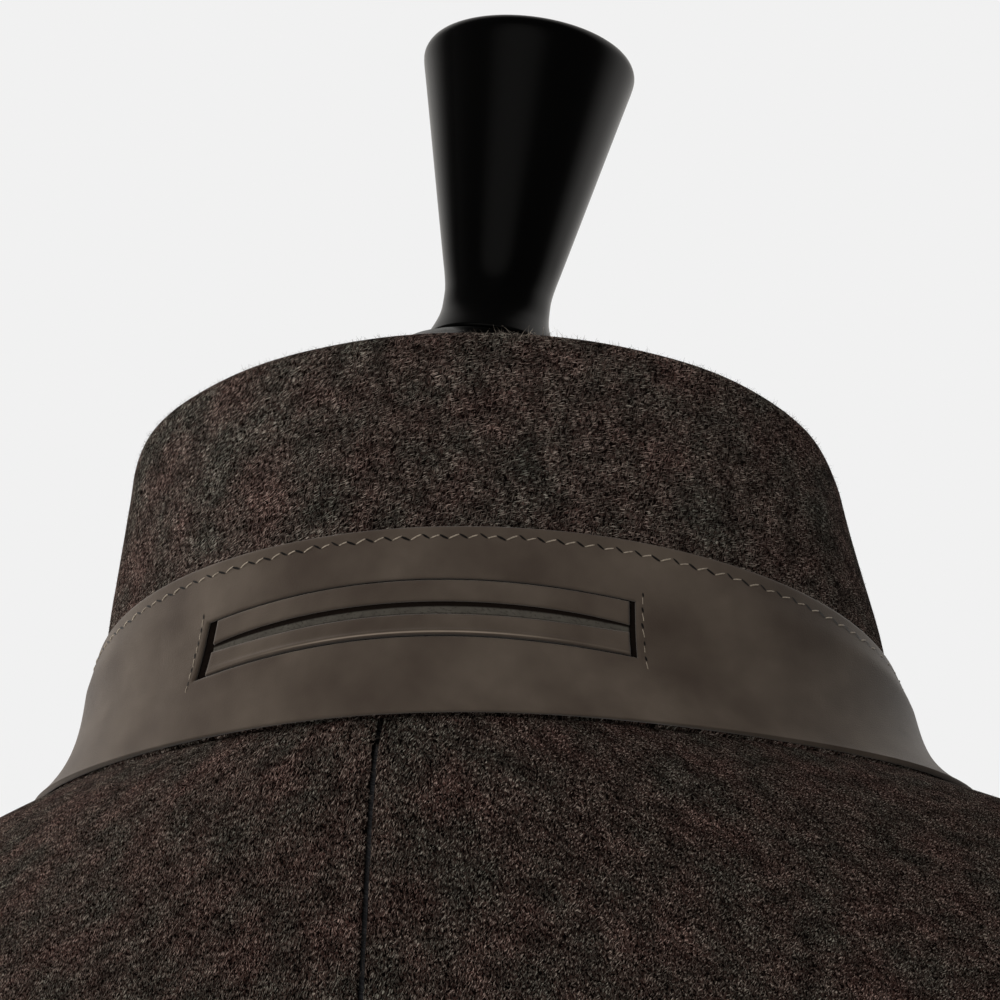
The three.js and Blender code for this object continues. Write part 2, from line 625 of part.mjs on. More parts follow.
// Stand, as outlines of [radius, height above the floor]
const flangeTop = FORM_LEVELS[0].side - SEAM;
const POLE_OUTLINE = [
  [0, BASE_HUB + SEAM],
  [POLE_RADIUS, BASE_HUB + SEAM],
  [POLE_RADIUS, flangeTop - 2 * FLANGE_THICK],
  [2 * POLE_RADIUS, flangeTop - FLANGE_THICK],
  [FLANGE_RADIUS, flangeTop - FLANGE_THICK / 2],
  [FLANGE_RADIUS, flangeTop],
  [0, flangeTop],
];
const BASE_OUTLINE = [
  [0, 0],
  [BASE_RADIUS - BASE_BEVEL, 0],
  [BASE_RADIUS, BASE_BEVEL],
  [BASE_RADIUS, BASE_EDGE - BASE_BEVEL],
  [BASE_RADIUS - BASE_BEVEL, BASE_EDGE],
  [BASE_HUB_RADIUS, BASE_HUB - BASE_BEVEL],
  [BASE_HUB_RADIUS - BASE_BEVEL, BASE_HUB],
  [0, BASE_HUB],
];
addTurned('form_pole', POLE_OUTLINE, STEEL_LOOK);
addTurned('form_base', BASE_OUTLINE, STEEL_LOOK, BASE_SIDES);

export default coat;
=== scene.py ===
# %% [markdown]
# # A jersey coat with a turned-up collar, on a limbless dress form
# The coat is cut from a heathered wool jersey, its collar stand is faced with nubuck leather, and
# a slot in the leather shows a strip of felt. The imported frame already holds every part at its
# real size, in metres, with the coat's front facing -Y. This lesson dresses it for a close view
# from behind: cloth with real edges and creases, stitched leather, loose fibres and soft light.

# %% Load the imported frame
import math
from functools import partial

import bpy
import numpy as np
from mathutils import Matrix, Vector


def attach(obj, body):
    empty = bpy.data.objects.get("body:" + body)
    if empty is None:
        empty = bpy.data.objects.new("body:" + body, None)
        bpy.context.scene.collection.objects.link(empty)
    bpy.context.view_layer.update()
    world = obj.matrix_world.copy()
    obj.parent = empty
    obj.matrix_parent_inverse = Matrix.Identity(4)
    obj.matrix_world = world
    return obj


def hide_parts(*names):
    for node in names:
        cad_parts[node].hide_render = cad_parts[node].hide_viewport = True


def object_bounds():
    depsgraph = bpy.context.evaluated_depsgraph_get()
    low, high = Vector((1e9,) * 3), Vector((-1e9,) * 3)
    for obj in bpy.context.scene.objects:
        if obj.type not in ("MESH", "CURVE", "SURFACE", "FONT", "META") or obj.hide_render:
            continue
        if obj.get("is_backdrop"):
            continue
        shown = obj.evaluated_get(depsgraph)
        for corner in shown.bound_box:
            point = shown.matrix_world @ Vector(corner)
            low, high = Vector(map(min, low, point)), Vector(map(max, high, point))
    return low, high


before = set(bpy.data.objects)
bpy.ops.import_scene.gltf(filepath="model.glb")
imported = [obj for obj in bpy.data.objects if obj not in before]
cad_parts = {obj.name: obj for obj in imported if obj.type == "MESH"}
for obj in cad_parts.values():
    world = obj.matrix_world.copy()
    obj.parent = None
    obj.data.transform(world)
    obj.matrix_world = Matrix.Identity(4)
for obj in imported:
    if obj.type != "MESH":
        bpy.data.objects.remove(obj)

cad_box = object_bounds()
print("CAD box", cad_box)

# %% [markdown]
# ## Camera
# The picture is taken level, about 0.7 m behind the neck and a little to the wearer's right, with
# a long lens. The camera is rolled a little, so the back seam leans. Its place is worked out from
# the collar and shoulders in the picture; all numbers are millimetres and degrees.

# %% Camera
MM = 0.001
CAMERA_NEAR, SENSOR_WIDTH = 0.05, 36
CAMERA_AIM = Vector((0, 0, 1492))
CAMERA_DISTANCE = 704
CAMERA_TURN = math.radians(14.5)
CAMERA_ROLL = math.radians(3.4)
CAMERA_FOCAL = 114.0
CAMERA_SHIFT = 0.019



def linked(name, data):
    """A new object for the data, placed in the scene."""
    made = bpy.data.objects.new(name, data)
    bpy.context.scene.collection.objects.link(made)
    return made


looking = Vector((math.sin(CAMERA_TURN), -math.cos(CAMERA_TURN), 0))
level_right = looking.cross(Vector((0, 0, 1)))
camera_right = level_right * math.cos(CAMERA_ROLL) - Vector((0, 0, math.sin(CAMERA_ROLL)))
camera_up = level_right * math.sin(CAMERA_ROLL) + Vector((0, 0, math.cos(CAMERA_ROLL)))

lens = bpy.data.cameras.new("camera")
lens.sensor_width = SENSOR_WIDTH
lens.lens = CAMERA_FOCAL
lens.shift_x = CAMERA_SHIFT
lens.clip_start = CAMERA_NEAR
camera = linked("camera", lens)
turned_to = Matrix((camera_right, camera_up, -looking)).transposed().to_4x4()
camera.matrix_world = Matrix.Translation((CAMERA_AIM - looking * CAMERA_DISTANCE) * MM) @ turned_to
bpy.context.scene.camera = camera
print("camera at", tuple(round(c, 3) for c in camera.matrix_world.translation))

# %% [markdown]
# ## Studio
# A plain pale floor and a pale surround. A large soft light stands at the wearer's left, so the
# leather is brightest there, and wide soft ones fill from behind, above and in front. The surround
# is a bright backdrop on the coat's front side and dark behind the camera, as in a studio. Only a
# weak twin of the key light shows in glossy surfaces, so the knob stays black but for its edges.

# %% Helpers for colours and nodes
def linear(red, green, blue):
    """A colour picked on a screen, 0 to 255, as the linear colour that Blender works in."""
    return [((c / 255 + 0.055) / 1.055) ** 2.4 if c > 10 else c / 3295 for c in (red, green, blue)] + [1.0]


def put(tree, kind, inputs=None, **settings):
    """A node with its settings and its inputs, which are values or other nodes' outputs."""
    made = tree.nodes.new(kind)
    for key, value in settings.items():
        setattr(made, key, value)
    for key, value in (inputs or {}).items():
        if isinstance(value, bpy.types.NodeSocket):
            tree.links.new(value, made.inputs[key])
        else:
            made.inputs[key].default_value = value
    return made


def first_out(tree, kind, inputs=None, **settings):
    """The first output of such a node."""
    return put(tree, kind, inputs, **settings).outputs[0]


def math_node(tree, operation, *values):
    return first_out(tree, "ShaderNodeMath", dict(enumerate(values)), operation=operation)


def ramp(tree, value, low, high, first=0.0, second=1.0, kind="LINEAR"):
    """A value carried from low and high to first and second, and held there outside them."""
    return first_out(tree, "ShaderNodeMapRange", {0: value, 1: low, 2: high, 3: first, 4: second},
                     interpolation_type=kind)


# %% Surround
BACKDROP, SURROUND = linear(241, 241, 241), linear(241, 238, 234)
# the direction's y where it starts and ends, and the strength there
IN_FRONT, BEHIND = (-0.1, -0.55, 0.03, 0.75), (0.78, 0.92, 0.0, 0.22)
world = bpy.data.worlds.new("studio")
bpy.context.scene.world = world
world.use_nodes = True
sky = world.node_tree
sky.nodes.clear()
direction = put(sky, "ShaderNodeTexCoord").outputs["Generated"]
facing = put(sky, "ShaderNodeSeparateXYZ", {0: direction}).outputs[1]
strength = math_node(sky, "ADD", ramp(sky, facing, *IN_FRONT), ramp(sky, facing, *BEHIND))
backdrop = first_out(sky, "ShaderNodeBackground", {"Color": BACKDROP, "Strength": 1.0})
surround = first_out(sky, "ShaderNodeBackground", {"Color": SURROUND, "Strength": strength})
seen = put(sky, "ShaderNodeLightPath").outputs["Is Camera Ray"]
either = first_out(sky, "ShaderNodeMixShader", {0: seen, 1: surround, 2: backdrop})
put(sky, "ShaderNodeOutputWorld", {"Surface": either})

# %% Lights
NECK = (0.0, 0.0, 1.45)
LAMP_COLOUR = (1.0, 0.97, 0.94)
KEY_PLACE, KEY_SIZE = (2.3, -0.3, 1.85), (1.1, 1.9)
# name, place, size, watts, and whether glossy surfaces mirror it
LIGHTS = [("key_left", KEY_PLACE, KEY_SIZE, 74, False),
          ("soft_mirrored", KEY_PLACE, KEY_SIZE, 5, True),
          ("fill_behind", (0.1, 3.0, 2.15), (2.4, 1.8), 47, False),
          ("light_above", (0.3, 0.7, 3.2), (1.6, 1.6), 14, False),
          ("light_front", (-0.7, -2.6, 2.2), (1.8, 1.8), 30, False)]
for name, place, size, watts, mirrored in LIGHTS:
    lamp = bpy.data.lights.new(name, "AREA")
    lamp.color = LAMP_COLOUR
    lamp.shape, lamp.size, lamp.size_y, lamp.energy = "RECTANGLE", *size, watts
    lit = linked(name, lamp)
    away = Vector(place) - Vector(NECK)
    lit.matrix_world = Matrix.Translation(place) @ away.to_track_quat("Z", "Y").to_matrix().to_4x4()
    lit.visible_glossy = mirrored
bpy.context.scene.view_settings.view_transform = "Standard"
print(len(LIGHTS), "lights")

# %% Floor
FLOOR_HALF, FLOOR_DROP, FLOOR_ROUGHNESS = 6.0, 0.0005, 0.9
floor_mesh = bpy.data.meshes.new("floor")
corners = [(x * FLOOR_HALF, y * FLOOR_HALF, -FLOOR_DROP) for x, y in ((-1, -1), (1, -1), (1, 1), (-1, 1))]
floor_mesh.from_pydata(corners, [], [(0, 1, 2, 3)])
floor = linked("floor", floor_mesh)
floor_look = bpy.data.materials.new("floor_paper")
floor_look.use_nodes = True
paper = floor_look.node_tree.nodes["Principled BSDF"].inputs
paper["Base Color"].default_value = linear(214, 214, 214)
paper["Roughness"].default_value = FLOOR_ROUGHNESS
floor_mesh.materials.append(floor_look)
floor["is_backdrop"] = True

# %% [markdown]
# ## The coat's shape
# The cut of the coat is a short table: one ring per level, from hem to neckline, with the height
# at the side, how far the back rises and the front dips, the half-width and the depths. A smooth
# curve through the rows gives every ring between them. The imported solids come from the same
# numbers, so a shell on this surface lies exactly on its solid, only with finer steps.

# %% Rings and smooth rows between them
# columns: side, rise, dip, sag, half, back, front, square
BODY_LEVELS = np.array([
    [450, 0, 0, 0, 228, 143, 138, 2.2],
    [640, 0, 0, 0, 220, 137, 133, 2.2],
    [820, 0, 0, 0, 210, 129, 127, 2.25],
    [1000, 0, 0, 0, 197, 116, 119, 2.35],
    [1110, 0, 0, 0, 198, 119, 123, 2.45],
    [1185, 0, 4, 0, 201, 121, 124, 2.5],
    [1290, 2, 30, 0, 210, 116, 119, 2.7],
    [1372, -20, 96, 0, 222, 105, 113, 2.35],
    [1382, -4, 75, 0, 196, 98, 106, 2.15],
    [1398.5, 11, 55, 0, 163, 88, 98, 2.05],
    [1412, 25, 33, 1, 131, 78.5, 89, 2],
    [1419, 31, 18, 2, 107, 71.5, 80, 2],
])
# columns: angle, half-width in degrees, depth at the hem, level where it fades out
SKIRT_FOLDS = [(-152, 9, 7, 3.2), (-121, 12, 10, 3.6), (-58, 13, 9, 3.0), (-27, 10, 6, 2.6),
               (22, 11, 8, 3.3), (64, 12, 10, 2.8), (118, 13, 9, 3.4), (149, 9, 6, 2.9)]
SKIRT_FADE = 1.3
WOOL = 2.2
SEAM = 0.3
UNDERARM, ARMHOLE_MIDDLE, SHOULDER, NECKLINE = 5, 6, 7, 11
ARMHOLE_HALF_ANGLE = 31
LAP, LAP_GAP, LAP_START, LAP_EASE = 28, 1.1, 4, 30


def between(table, place):
    """The table's columns at any place between its rows."""
    place = np.asarray(place, float)
    last = len(table) - 1
    row = np.minimum(np.floor(place), last - 1).astype(int)
    f = (place - row)[..., None]
    a, b, c, d = (table[np.clip(row + k, 0, last)] for k in (-1, 0, 1, 2))
    return 0.5 * (2 * b + (c - a) * f + (2 * a - 5 * b + 4 * c - d) * f**2 + (3 * b - 3 * c + d - a) * f**3)


def ring_points(level, angle):
    """Points on the rings. Angle 0 is the centre back and 90 the left side."""
    side, rise, dip, sag, half, back, front, square = np.moveaxis(level, -1, 0)
    s, c = np.sin(np.radians(angle)), np.cos(np.radians(angle))
    full = (np.abs(s) ** square + np.abs(c) ** square) ** (-1 / square)
    z = side + rise * c - dip * np.maximum(0, -c) ** 2 - sag * (2 * s * c) ** 2
    return np.stack([half * s * full, np.where(c > 0, back, front) * c * full, z], -1)


def turn_between(a, b):
    return (a - b + 540) % 360 - 180


def smooth(value, low, high):
    f = np.clip((value - low) / (high - low), 0, 1)
    return f * f * (3 - 2 * f)


def coat_points(level, angle):
    """The coat's outer face."""
    points = ring_points(between(BODY_LEVELS, level), angle)
    out = sum(depth * np.maximum(0, 1 - level / top) ** SKIRT_FADE
              * np.exp(-(turn_between(angle, middle) / width) ** 2)
              for middle, width, depth, top in SKIRT_FOLDS)
    points[..., 0] += out * np.sin(np.radians(angle))
    points[..., 1] += out * np.cos(np.radians(angle))
    return points


def lap_points(level, angle):
    """The left front rides over the right one, and comes back to the coat's face beside it."""
    points = coat_points(level, angle)
    points[..., 1] -= (1 - smooth(points[..., 0], LAP + LAP_START, LAP + LAP_EASE)) * (WOOL + LAP_GAP)
    return points


def unit(vectors):
    return vectors / np.maximum(np.linalg.norm(vectors, axis=-1, keepdims=True), 1e-12)


def outward(surface, row, column):
    """Normals where rows rise and columns run clockwise seen from above."""
    up = surface(row + 0.01, column) - surface(row - 0.01, column)
    along = surface(row, column + 0.1) - surface(row, column - 0.1)
    return unit(np.cross(up, along))


# %% [markdown]
# ## A cloth wall with rounded edges
# Real cloth has a thickness that rounds over at every cut or turned edge, and at a seam two such
# edges meet in a groove. Solidify gives square rims, so the wall is built directly: two layers
# that close on each other along a circle as they reach an edge. The same helper measures the
# piece: the size that it was cut to.

# %% Walls from grids
FINE = np.array([0, 0.15, 0.4, 0.8, 1.3, 2.0, 3.0, 4.4])
FINE_SHARE = 0.42
measured = {}


def spaced(length, step, fine_start=True, fine_end=True):
    """Places from 0 to 1 along a length in mm, closer together towards its edges."""
    fine = FINE[FINE < FINE_SHARE * length]
    start = fine if fine_start else fine[:1]
    end = length - (fine if fine_end else fine[:1])[::-1]
    count = max(2, int(round((end[0] - start[-1]) / step)))
    return np.concatenate([start, np.linspace(start[-1], end[0], count + 1)[1:-1], end]) / length


def run_lengths(points, axis):
    """Distances along the rows or columns of a grid, from its first one."""
    steps = np.linalg.norm(np.diff(points, axis=axis), axis=-1)
    pad = [(1, 0) if k == axis else (0, 0) for k in (0, 1)]
    return np.pad(np.cumsum(steps, axis=axis), pad)


def grid_normals(points, ring):
    if ring:
        points = np.concatenate([points[:, -1:], points, points[:, :1]], 1)
    normals = unit(np.cross(np.gradient(points, axis=0), np.gradient(points, axis=1)))
    return normals[:, 1:-1] if ring else normals


def mesh_object(name, vertices, faces, uv, material, smooth=None):
    """An object from points in mm and, for each corner of each face, its place on the cloth."""
    mesh = bpy.data.meshes.new(name)
    mesh.from_pydata((np.asarray(vertices) * MM).tolist(), [], faces)
    layer = mesh.uv_layers.new(name="cloth")
    layer.data.foreach_set("uv", (np.asarray(uv, np.float32) * MM).ravel())
    mesh.polygons.foreach_set("use_smooth", smooth or [True] * len(mesh.polygons))
    mesh.materials.append(material)
    return linked(name, mesh)


def wall(name, points, material, outer, inner, edge, roll=1.2, ring=False, present=None, centre=None):
    """A wall between two heights over a grid of points.

    edge is each point's distance to an open edge, and roll the radius that the wall rounds over
    there. present says which cells are there, and centre is the column where the UV map starts.
    """
    normals = grid_normals(points, ring)
    rows, columns = points.shape[:2]
    swell = np.sqrt(1 - (1 - np.clip(edge / roll, 0, 1)) ** 2)
    middle, half = (np.asarray(outer) + inner) / 2, (np.asarray(outer) - inner) / 2
    layers = [points + normals * (middle + half * swell * s)[..., None] for s in (1, -1)]
    at = np.arange(rows * columns).reshape(rows, columns)
    back = np.where(edge <= 1e-9, at, at + rows * columns)
    if ring:
        at, back = (np.concatenate([k, k[:, :1]], 1) for k in (at, back))
    closed = np.concatenate([points, points[:, :1]], 1) if ring else points
    u, v = run_lengths(closed, 1), run_lengths(closed, 0)
    if centre is not None:
        u = u - u[np.arange(rows), centre][:, None]
    quads = [(slice(None, -1), slice(None, -1)), (slice(1, None), slice(None, -1)),
             (slice(1, None), slice(1, None)), (slice(None, -1), slice(1, None))]
    there = np.ones((rows - 1, at.shape[1] - 1), bool) if present is None else present
    faces = np.concatenate([np.stack([at[q] for q in quads], -1)[there],
                            np.stack([back[q] for q in quads[::-1]], -1)[there]])
    uv = np.concatenate([np.stack([np.stack([u[q], v[q]], -1) for q in order], 2)[there]
                         for order in (quads, quads[::-1])])
    used, numbered = np.unique(faces, return_inverse=True)
    made = mesh_object(name, np.concatenate([k.reshape(-1, 3) for k in layers])[used],
                       numbered.reshape(faces.shape).tolist(), uv, material)
    corners = [closed[q] for q in quads]
    cells = 0.5 * np.linalg.norm(np.cross(corners[2] - corners[0], corners[3] - corners[1]), axis=-1)
    measured[name] = (float(u.max() - u.min()), float(v.max()), float(cells[there].sum()))
    width, length, area = measured[name]
    print(f"{name}: {len(made.data.polygons)} faces, cut {width:.0f} x {length:.0f} mm, {area / 1e4:.0f} cm2")
    return made


def edge_distance(points, rows=(True, True), columns=(True, True)):
    """Each grid point's distance to the nearest of the grid's open sides."""
    along, up = run_lengths(points, 1), run_lengths(points, 0)
    far = np.full(points.shape[:2], 1e3)
    sides = [(columns[0], along), (columns[1], along[:, -1:] - along),
             (rows[0], up), (rows[1], up[-1:] - up)]
    for is_open, distance in sides:
        if is_open:
            far = np.minimum(far, distance)
    return far


# %% [markdown]
# ## Shared finishes: fibres and mottling
# Heathered wool is many short fibres in a few colours, lying mostly along the cloth. One group of
# nodes makes a mask of short strokes by stretching noise in one direction; each cloth uses it
# three or four times with its own lean, length and cover. A second group gives the slow change of
# tone over a few centimetres that dyed wool, leather and felt all have. Both read the piece's own
# UV map, which is in metres along the cloth, so the strokes turn with the cloth on every side.

# %% Fibre strokes group
def node_group(name, kind, inputs, outputs):
    """A new group, from its inputs' names, types and values and its outputs' names and types."""
    tree = bpy.data.node_groups.new(name, kind)
    for label, socket_type, value in inputs:
        socket = tree.interface.new_socket(label, in_out="INPUT", socket_type=socket_type)
        if value is not None:
            socket.default_value = value
    for label, socket_type in outputs:
        tree.interface.new_socket(label, in_out="OUTPUT", socket_type=socket_type)
    return tree, tree.nodes.new("NodeGroupInput").outputs, tree.nodes.new("NodeGroupOutput").inputs


def noise(tree, vector, scale, detail, **others):
    return first_out(tree, "ShaderNodeTexNoise", {"Vector": vector, "Scale": scale, "Detail": detail, **others})


FLOAT, VECTOR = "NodeSocketFloat", "NodeSocketVector"
WANDER_SCALE, WANDER = 430.0, (0.0009, 0.0009, 0)
GRAIN_SCALE, GRAIN_DETAIL, GRAIN_ROUGHNESS = 0.55, 1.5, 0.6
COVER_TO_LEVEL, FULL_COVER_LEVEL = 0.36, 0.32
strokes, given, result = node_group("fibre_strokes", "ShaderNodeTree", [
    ("Vector", VECTOR, None), ("Lean", FLOAT, 0.0), ("Width", FLOAT, 0.0004), ("Length", FLOAT, 0.002),
    ("Cover", FLOAT, 0.4), ("Softness", FLOAT, 0.08), ("Seed", FLOAT, 0.0)], [("Mask", FLOAT)])
node, calc = partial(first_out, strokes), partial(math_node, strokes)
wander = put(strokes, "ShaderNodeTexNoise", {"Vector": given["Vector"], "Scale": WANDER_SCALE, "Detail": 1.0})
moved = node("ShaderNodeVectorMath", {0: wander.outputs["Color"], 1: WANDER}, operation="MULTIPLY")
bent = node("ShaderNodeVectorMath", {0: given["Vector"], 1: moved}, operation="ADD")
leaning = node("ShaderNodeVectorRotate", {"Vector": bent, "Angle": given["Lean"]}, rotation_type="Z_AXIS")
apart = put(strokes, "ShaderNodeSeparateXYZ", {0: leaning}).outputs
across, along = calc("DIVIDE", apart[0], given["Width"]), calc("DIVIDE", apart[1], given["Length"])
joined = node("ShaderNodeCombineXYZ", {0: across, 1: along, 2: given["Seed"]})
grains = noise(strokes, joined, GRAIN_SCALE, GRAIN_DETAIL, Roughness=GRAIN_ROUGHNESS)
low = calc("MULTIPLY_ADD", calc("SUBTRACT", 1.0, given["Cover"]), COVER_TO_LEVEL, FULL_COVER_LEVEL)
high = calc("ADD", low, given["Softness"])
strokes.links.new(ramp(strokes, grains, low, high, kind="SMOOTHSTEP"), result["Mask"])

# %% Slow mottling group
mottle, given, result = node_group("slow_mottle", "ShaderNodeTree", [
    ("Vector", VECTOR, None), ("Scale", FLOAT, 60.0), ("Contrast", FLOAT, 1.0)], [("Value", FLOAT)])
calc = partial(math_node, mottle)
centred = calc("SUBTRACT", noise(mottle, given["Vector"], given["Scale"], 3.0), 0.5)
spread = calc("MULTIPLY", centred, given["Contrast"])
clamped = first_out(mottle, "ShaderNodeClamp", {0: calc("ADD", spread, 0.5)})
mottle.links.new(clamped, result["Value"])
print("shader groups", [g.name for g in bpy.data.node_groups])

# %% [markdown]
# ## The finishes themselves
# Each finish is a Principled surface with its own colours. The wools mix four fibre colours and
# shift between brown and greenish grey in patches; the leather is brushed, so it is matt with a
# faint grain; the knob is gloss lacquer, and the stand is powder-coated steel.

# %% Helpers for finishes
SHEEN_ROUGHNESS = 0.45


def finish(name, roughness, sheen=0.0, metallic=0.0, specular=0.5, coat=0.0):
    made = bpy.data.materials.new(name)
    made.use_nodes = True
    shader = made.node_tree.nodes["Principled BSDF"]
    settings = {"Roughness": roughness, "Metallic": metallic, "Specular IOR Level": specular,
                "Coat Weight": coat, "Sheen Weight": sheen, "Sheen Roughness": SHEEN_ROUGHNESS}
    for key, value in settings.items():
        shader.inputs[key].default_value = value
    return made, made.node_tree, shader


def on_cloth(tree):
    """Places on the piece's own UV map, in metres along the cloth."""
    return first_out(tree, "ShaderNodeUVMap", uv_map="cloth")


def in_object(tree):
    return put(tree, "ShaderNodeTexCoord").outputs["Object"]


def use_group(tree, made, inputs):
    return first_out(tree, "ShaderNodeGroup", inputs, node_tree=made)


def mixed(tree, factor, first, second, blend="MIX"):
    made = put(tree, "ShaderNodeMix", {0: factor, 6: first, 7: second}, data_type="RGBA", blend_type=blend)
    return made.outputs[2]


def coloured(tree, shader, colour):
    tree.links.new(colour, shader.inputs["Base Color"])


def bumped(tree, shader, height, distance):
    made = first_out(tree, "ShaderNodeBump", {"Height": height, "Distance": distance, "Strength": 1.0})
    tree.links.new(made, shader.inputs["Normal"])


# %% Heathered wool
PATCH_CONTRAST, CLUMP_SCALE, CLUMP_CONTRAST = 3.4, 190.0, 3.0
CLUMP_TONES = ([0.55, 0.55, 0.55, 1], [1.5, 1.5, 1.5, 1])
TINTS = ([0.90, 0.765, 0.765, 1], [0.69, 0.775, 0.76, 1])
SEED_STEP, WOOL_RELIEF = 7.3, 0.0003


def heathered(name, patch_scale, base, layers):
    """layers: fibre colour, lean in degrees, width and length in mm, cover, softness and height."""
    made, tree, shader = finish(name, roughness=1.0, specular=0.02)
    cloth = on_cloth(tree)
    patches = use_group(tree, mottle, {"Vector": cloth, "Scale": patch_scale, "Contrast": PATCH_CONTRAST})
    clumps = use_group(tree, mottle, {"Vector": cloth, "Scale": CLUMP_SCALE, "Contrast": CLUMP_CONTRAST})
    colour, height = linear(*base), None
    for seed, (fibre, lean, width, length, cover, softness, raised) in enumerate(layers):
        mask = use_group(tree, strokes, {
            "Vector": cloth, "Lean": math.radians(lean), "Width": width * MM, "Length": length * MM,
            "Cover": cover, "Softness": softness, "Seed": SEED_STEP * seed})
        colour = mixed(tree, mask, colour, linear(*fibre))
        lift = math_node(tree, "MULTIPLY", mask, raised)
        height = lift if height is None else math_node(tree, "ADD", height, lift)
    tinted = mixed(tree, 1.0, colour, mixed(tree, patches, *TINTS), blend="MULTIPLY")
    coloured(tree, shader, mixed(tree, 1.0, tinted, mixed(tree, clumps, *CLUMP_TONES), blend="MULTIPLY"))
    bumped(tree, shader, height, WOOL_RELIEF)
    return made


wool = heathered("heathered_jersey", 75, (52, 41, 37), [
    ((14, 8, 7), -2, 0.34, 0.6, 0.62, 0.12, -0.7),
    ((84, 75, 69), -9, 0.21, 0.5, 0.42, 0.05, 0.5),
    ((74, 58, 53), 13, 0.21, 0.46, 0.36, 0.05, 0.4),
    ((7, 4, 4), 1, 0.23, 0.55, 0.42, 0.06, -0.5),
    ((10, 6, 5), 5, 0.50, 0.9, 0.30, 0.08, -0.4),
    ((166, 154, 144), -22, 0.13, 0.62, 0.27, 0.05, 0.9),
    ((128, 113, 105), 17, 0.12, 0.6, 0.21, 0.05, 0.9)])
collar_wool = heathered("felted_jersey", 70, (52, 43, 39), [
    ((16, 10, 9), -26, 0.32, 0.62, 0.58, 0.12, -0.7),
    ((86, 79, 73), -58, 0.20, 0.55, 0.42, 0.05, 0.5),
    ((82, 66, 61), 6, 0.20, 0.5, 0.34, 0.05, 0.4),
    ((9, 5, 5), -32, 0.22, 0.6, 0.40, 0.06, -0.5),
    ((12, 7, 6), -12, 0.50, 0.9, 0.30, 0.08, -0.4),
    ((172, 162, 152), -72, 0.11, 0.8, 0.26, 0.05, 0.9),
    ((140, 127, 119), -16, 0.11, 0.75, 0.24, 0.05, 0.9)])

# %% Felt strip, with painted shade where it goes under the welts
def across_piece(tree, cloth, *stops):
    """A value from pairs of place across the piece in mm and value, eased between them."""
    up = math_node(tree, "DIVIDE", put(tree, "ShaderNodeSeparateXYZ", {0: cloth}).outputs[1], MM)
    value = stops[0][1]
    for (low, first), (high, second) in zip(stops[:-1], stops[1:]):
        value = math_node(tree, "ADD", value, ramp(tree, up, low, high, 0.0, second - first, "SMOOTHSTEP"))
    return value


felt, tree, shader = finish("felt_strip", roughness=0.95, sheen=0.03, specular=0.08)
cloth = on_cloth(tree)
dark = use_group(tree, strokes, {
    "Vector": cloth, "Lean": 1.2, "Width": 0.00022, "Length": 0.0006, "Cover": 0.45, "Softness": 0.2})
cloudy = use_group(tree, mottle, {"Vector": cloth, "Scale": 300.0, "Contrast": 1.6})
ground = mixed(tree, cloudy, linear(64, 61, 56), linear(82, 79, 73))
body = mixed(tree, math_node(tree, "MULTIPLY", dark, 0.5), ground, linear(46, 42, 37))
# painted shade: dark at the strip's bottom edge against the lower welt, and up under the upper welt
painted_welt_shade = across_piece(tree, cloth, (0.4, 0.8), (0.75, 0.0), (1.75, 0.0), (2.15, 1.0))
coloured(tree, shader, mixed(tree, painted_welt_shade, body, linear(20, 15, 12)))
bumped(tree, shader, dark, 0.0001)

# %% Nubuck leather
LEATHER_DARK, LEATHER_LIGHT = linear(60, 51, 44), linear(89, 80, 71)
# a painted highlight along a welt's fold, and painted shade under the fold
FOLD_HIGHLIGHT, FOLD_SHADE = linear(138, 126, 113), linear(34, 26, 21)
LEATHER_RELIEF = 0.00008


def leather(name, paint_fold_light=False):
    """Brushed leather. For a folded welt, a painted highlight runs pale along the fold and painted shade lies
    dark under it.
    """
    made, tree, shader = finish(name, roughness=0.74, sheen=0.2, specular=0.26)
    cloth = on_cloth(tree)
    soft = use_group(tree, mottle, {"Vector": cloth, "Scale": 48.0, "Contrast": 2.6})
    brushed = use_group(tree, mottle, {"Vector": cloth, "Scale": 260.0, "Contrast": 1.6})
    tone = mixed(tree, soft, LEATHER_DARK, LEATHER_LIGHT)
    tone = mixed(tree, math_node(tree, "MULTIPLY", brushed, 0.35), tone, LEATHER_DARK)
    if paint_fold_light:
        from_middle = math_node(tree, "ABSOLUTE", first_out(tree, "ShaderNodeSeparateXYZ", {0: cloth}))
        middle = ramp(tree, from_middle, 0.012, 0.036, 1.0, 0.12, "SMOOTHSTEP")
        # painted highlight along the fold's crest, fading towards the slot's ends, then painted shade under the
        # fold
        painted_highlight = across_piece(tree, cloth, (0.4, 0.0), (0.55, 1.0), (0.62, 1.0), (0.85, 0.0))
        tone = mixed(tree, math_node(tree, "MULTIPLY", painted_highlight, middle), tone, FOLD_HIGHLIGHT)
        tone = mixed(tree, across_piece(tree, cloth, (0.0, 0.55), (0.4, 0.0)), tone, FOLD_SHADE)
    coloured(tree, shader, tone)
    grain = noise(tree, cloth, 2600.0, 2.0)
    bumped(tree, shader, math_node(tree, "MULTIPLY_ADD", soft, 0.6, grain), LEATHER_RELIEF)
    return made


nubuck = leather("nubuck")
# a copy of the nubuck with the painted fold highlight and shade, for the lower welt
lit_fold_nubuck = leather("nubuck_painted_fold_light", paint_fold_light=True)

# %% Horn, form cover and lacquer
horn, tree, shader = finish("horn", roughness=0.33, coat=0.15)
stretched = first_out(tree, "ShaderNodeMapping", {"Vector": in_object(tree), "Scale": (220, 220, 60)})
streaks = noise(tree, stretched, 1.0, 4.0, Distortion=1.5)
coloured(tree, shader, mixed(tree, streaks, linear(22, 15, 11), linear(74, 55, 40)))

cover, tree, shader = finish("form_cover", roughness=0.9, sheen=0.08, specular=0.2)
knit = use_group(tree, strokes, {
    "Vector": on_cloth(tree), "Lean": 0.0, "Width": 0.0005, "Length": 0.0012, "Cover": 0.5})
coloured(tree, shader, mixed(tree, knit, linear(38, 38, 40), linear(52, 52, 54)))
bumped(tree, shader, knit, 0.0002)

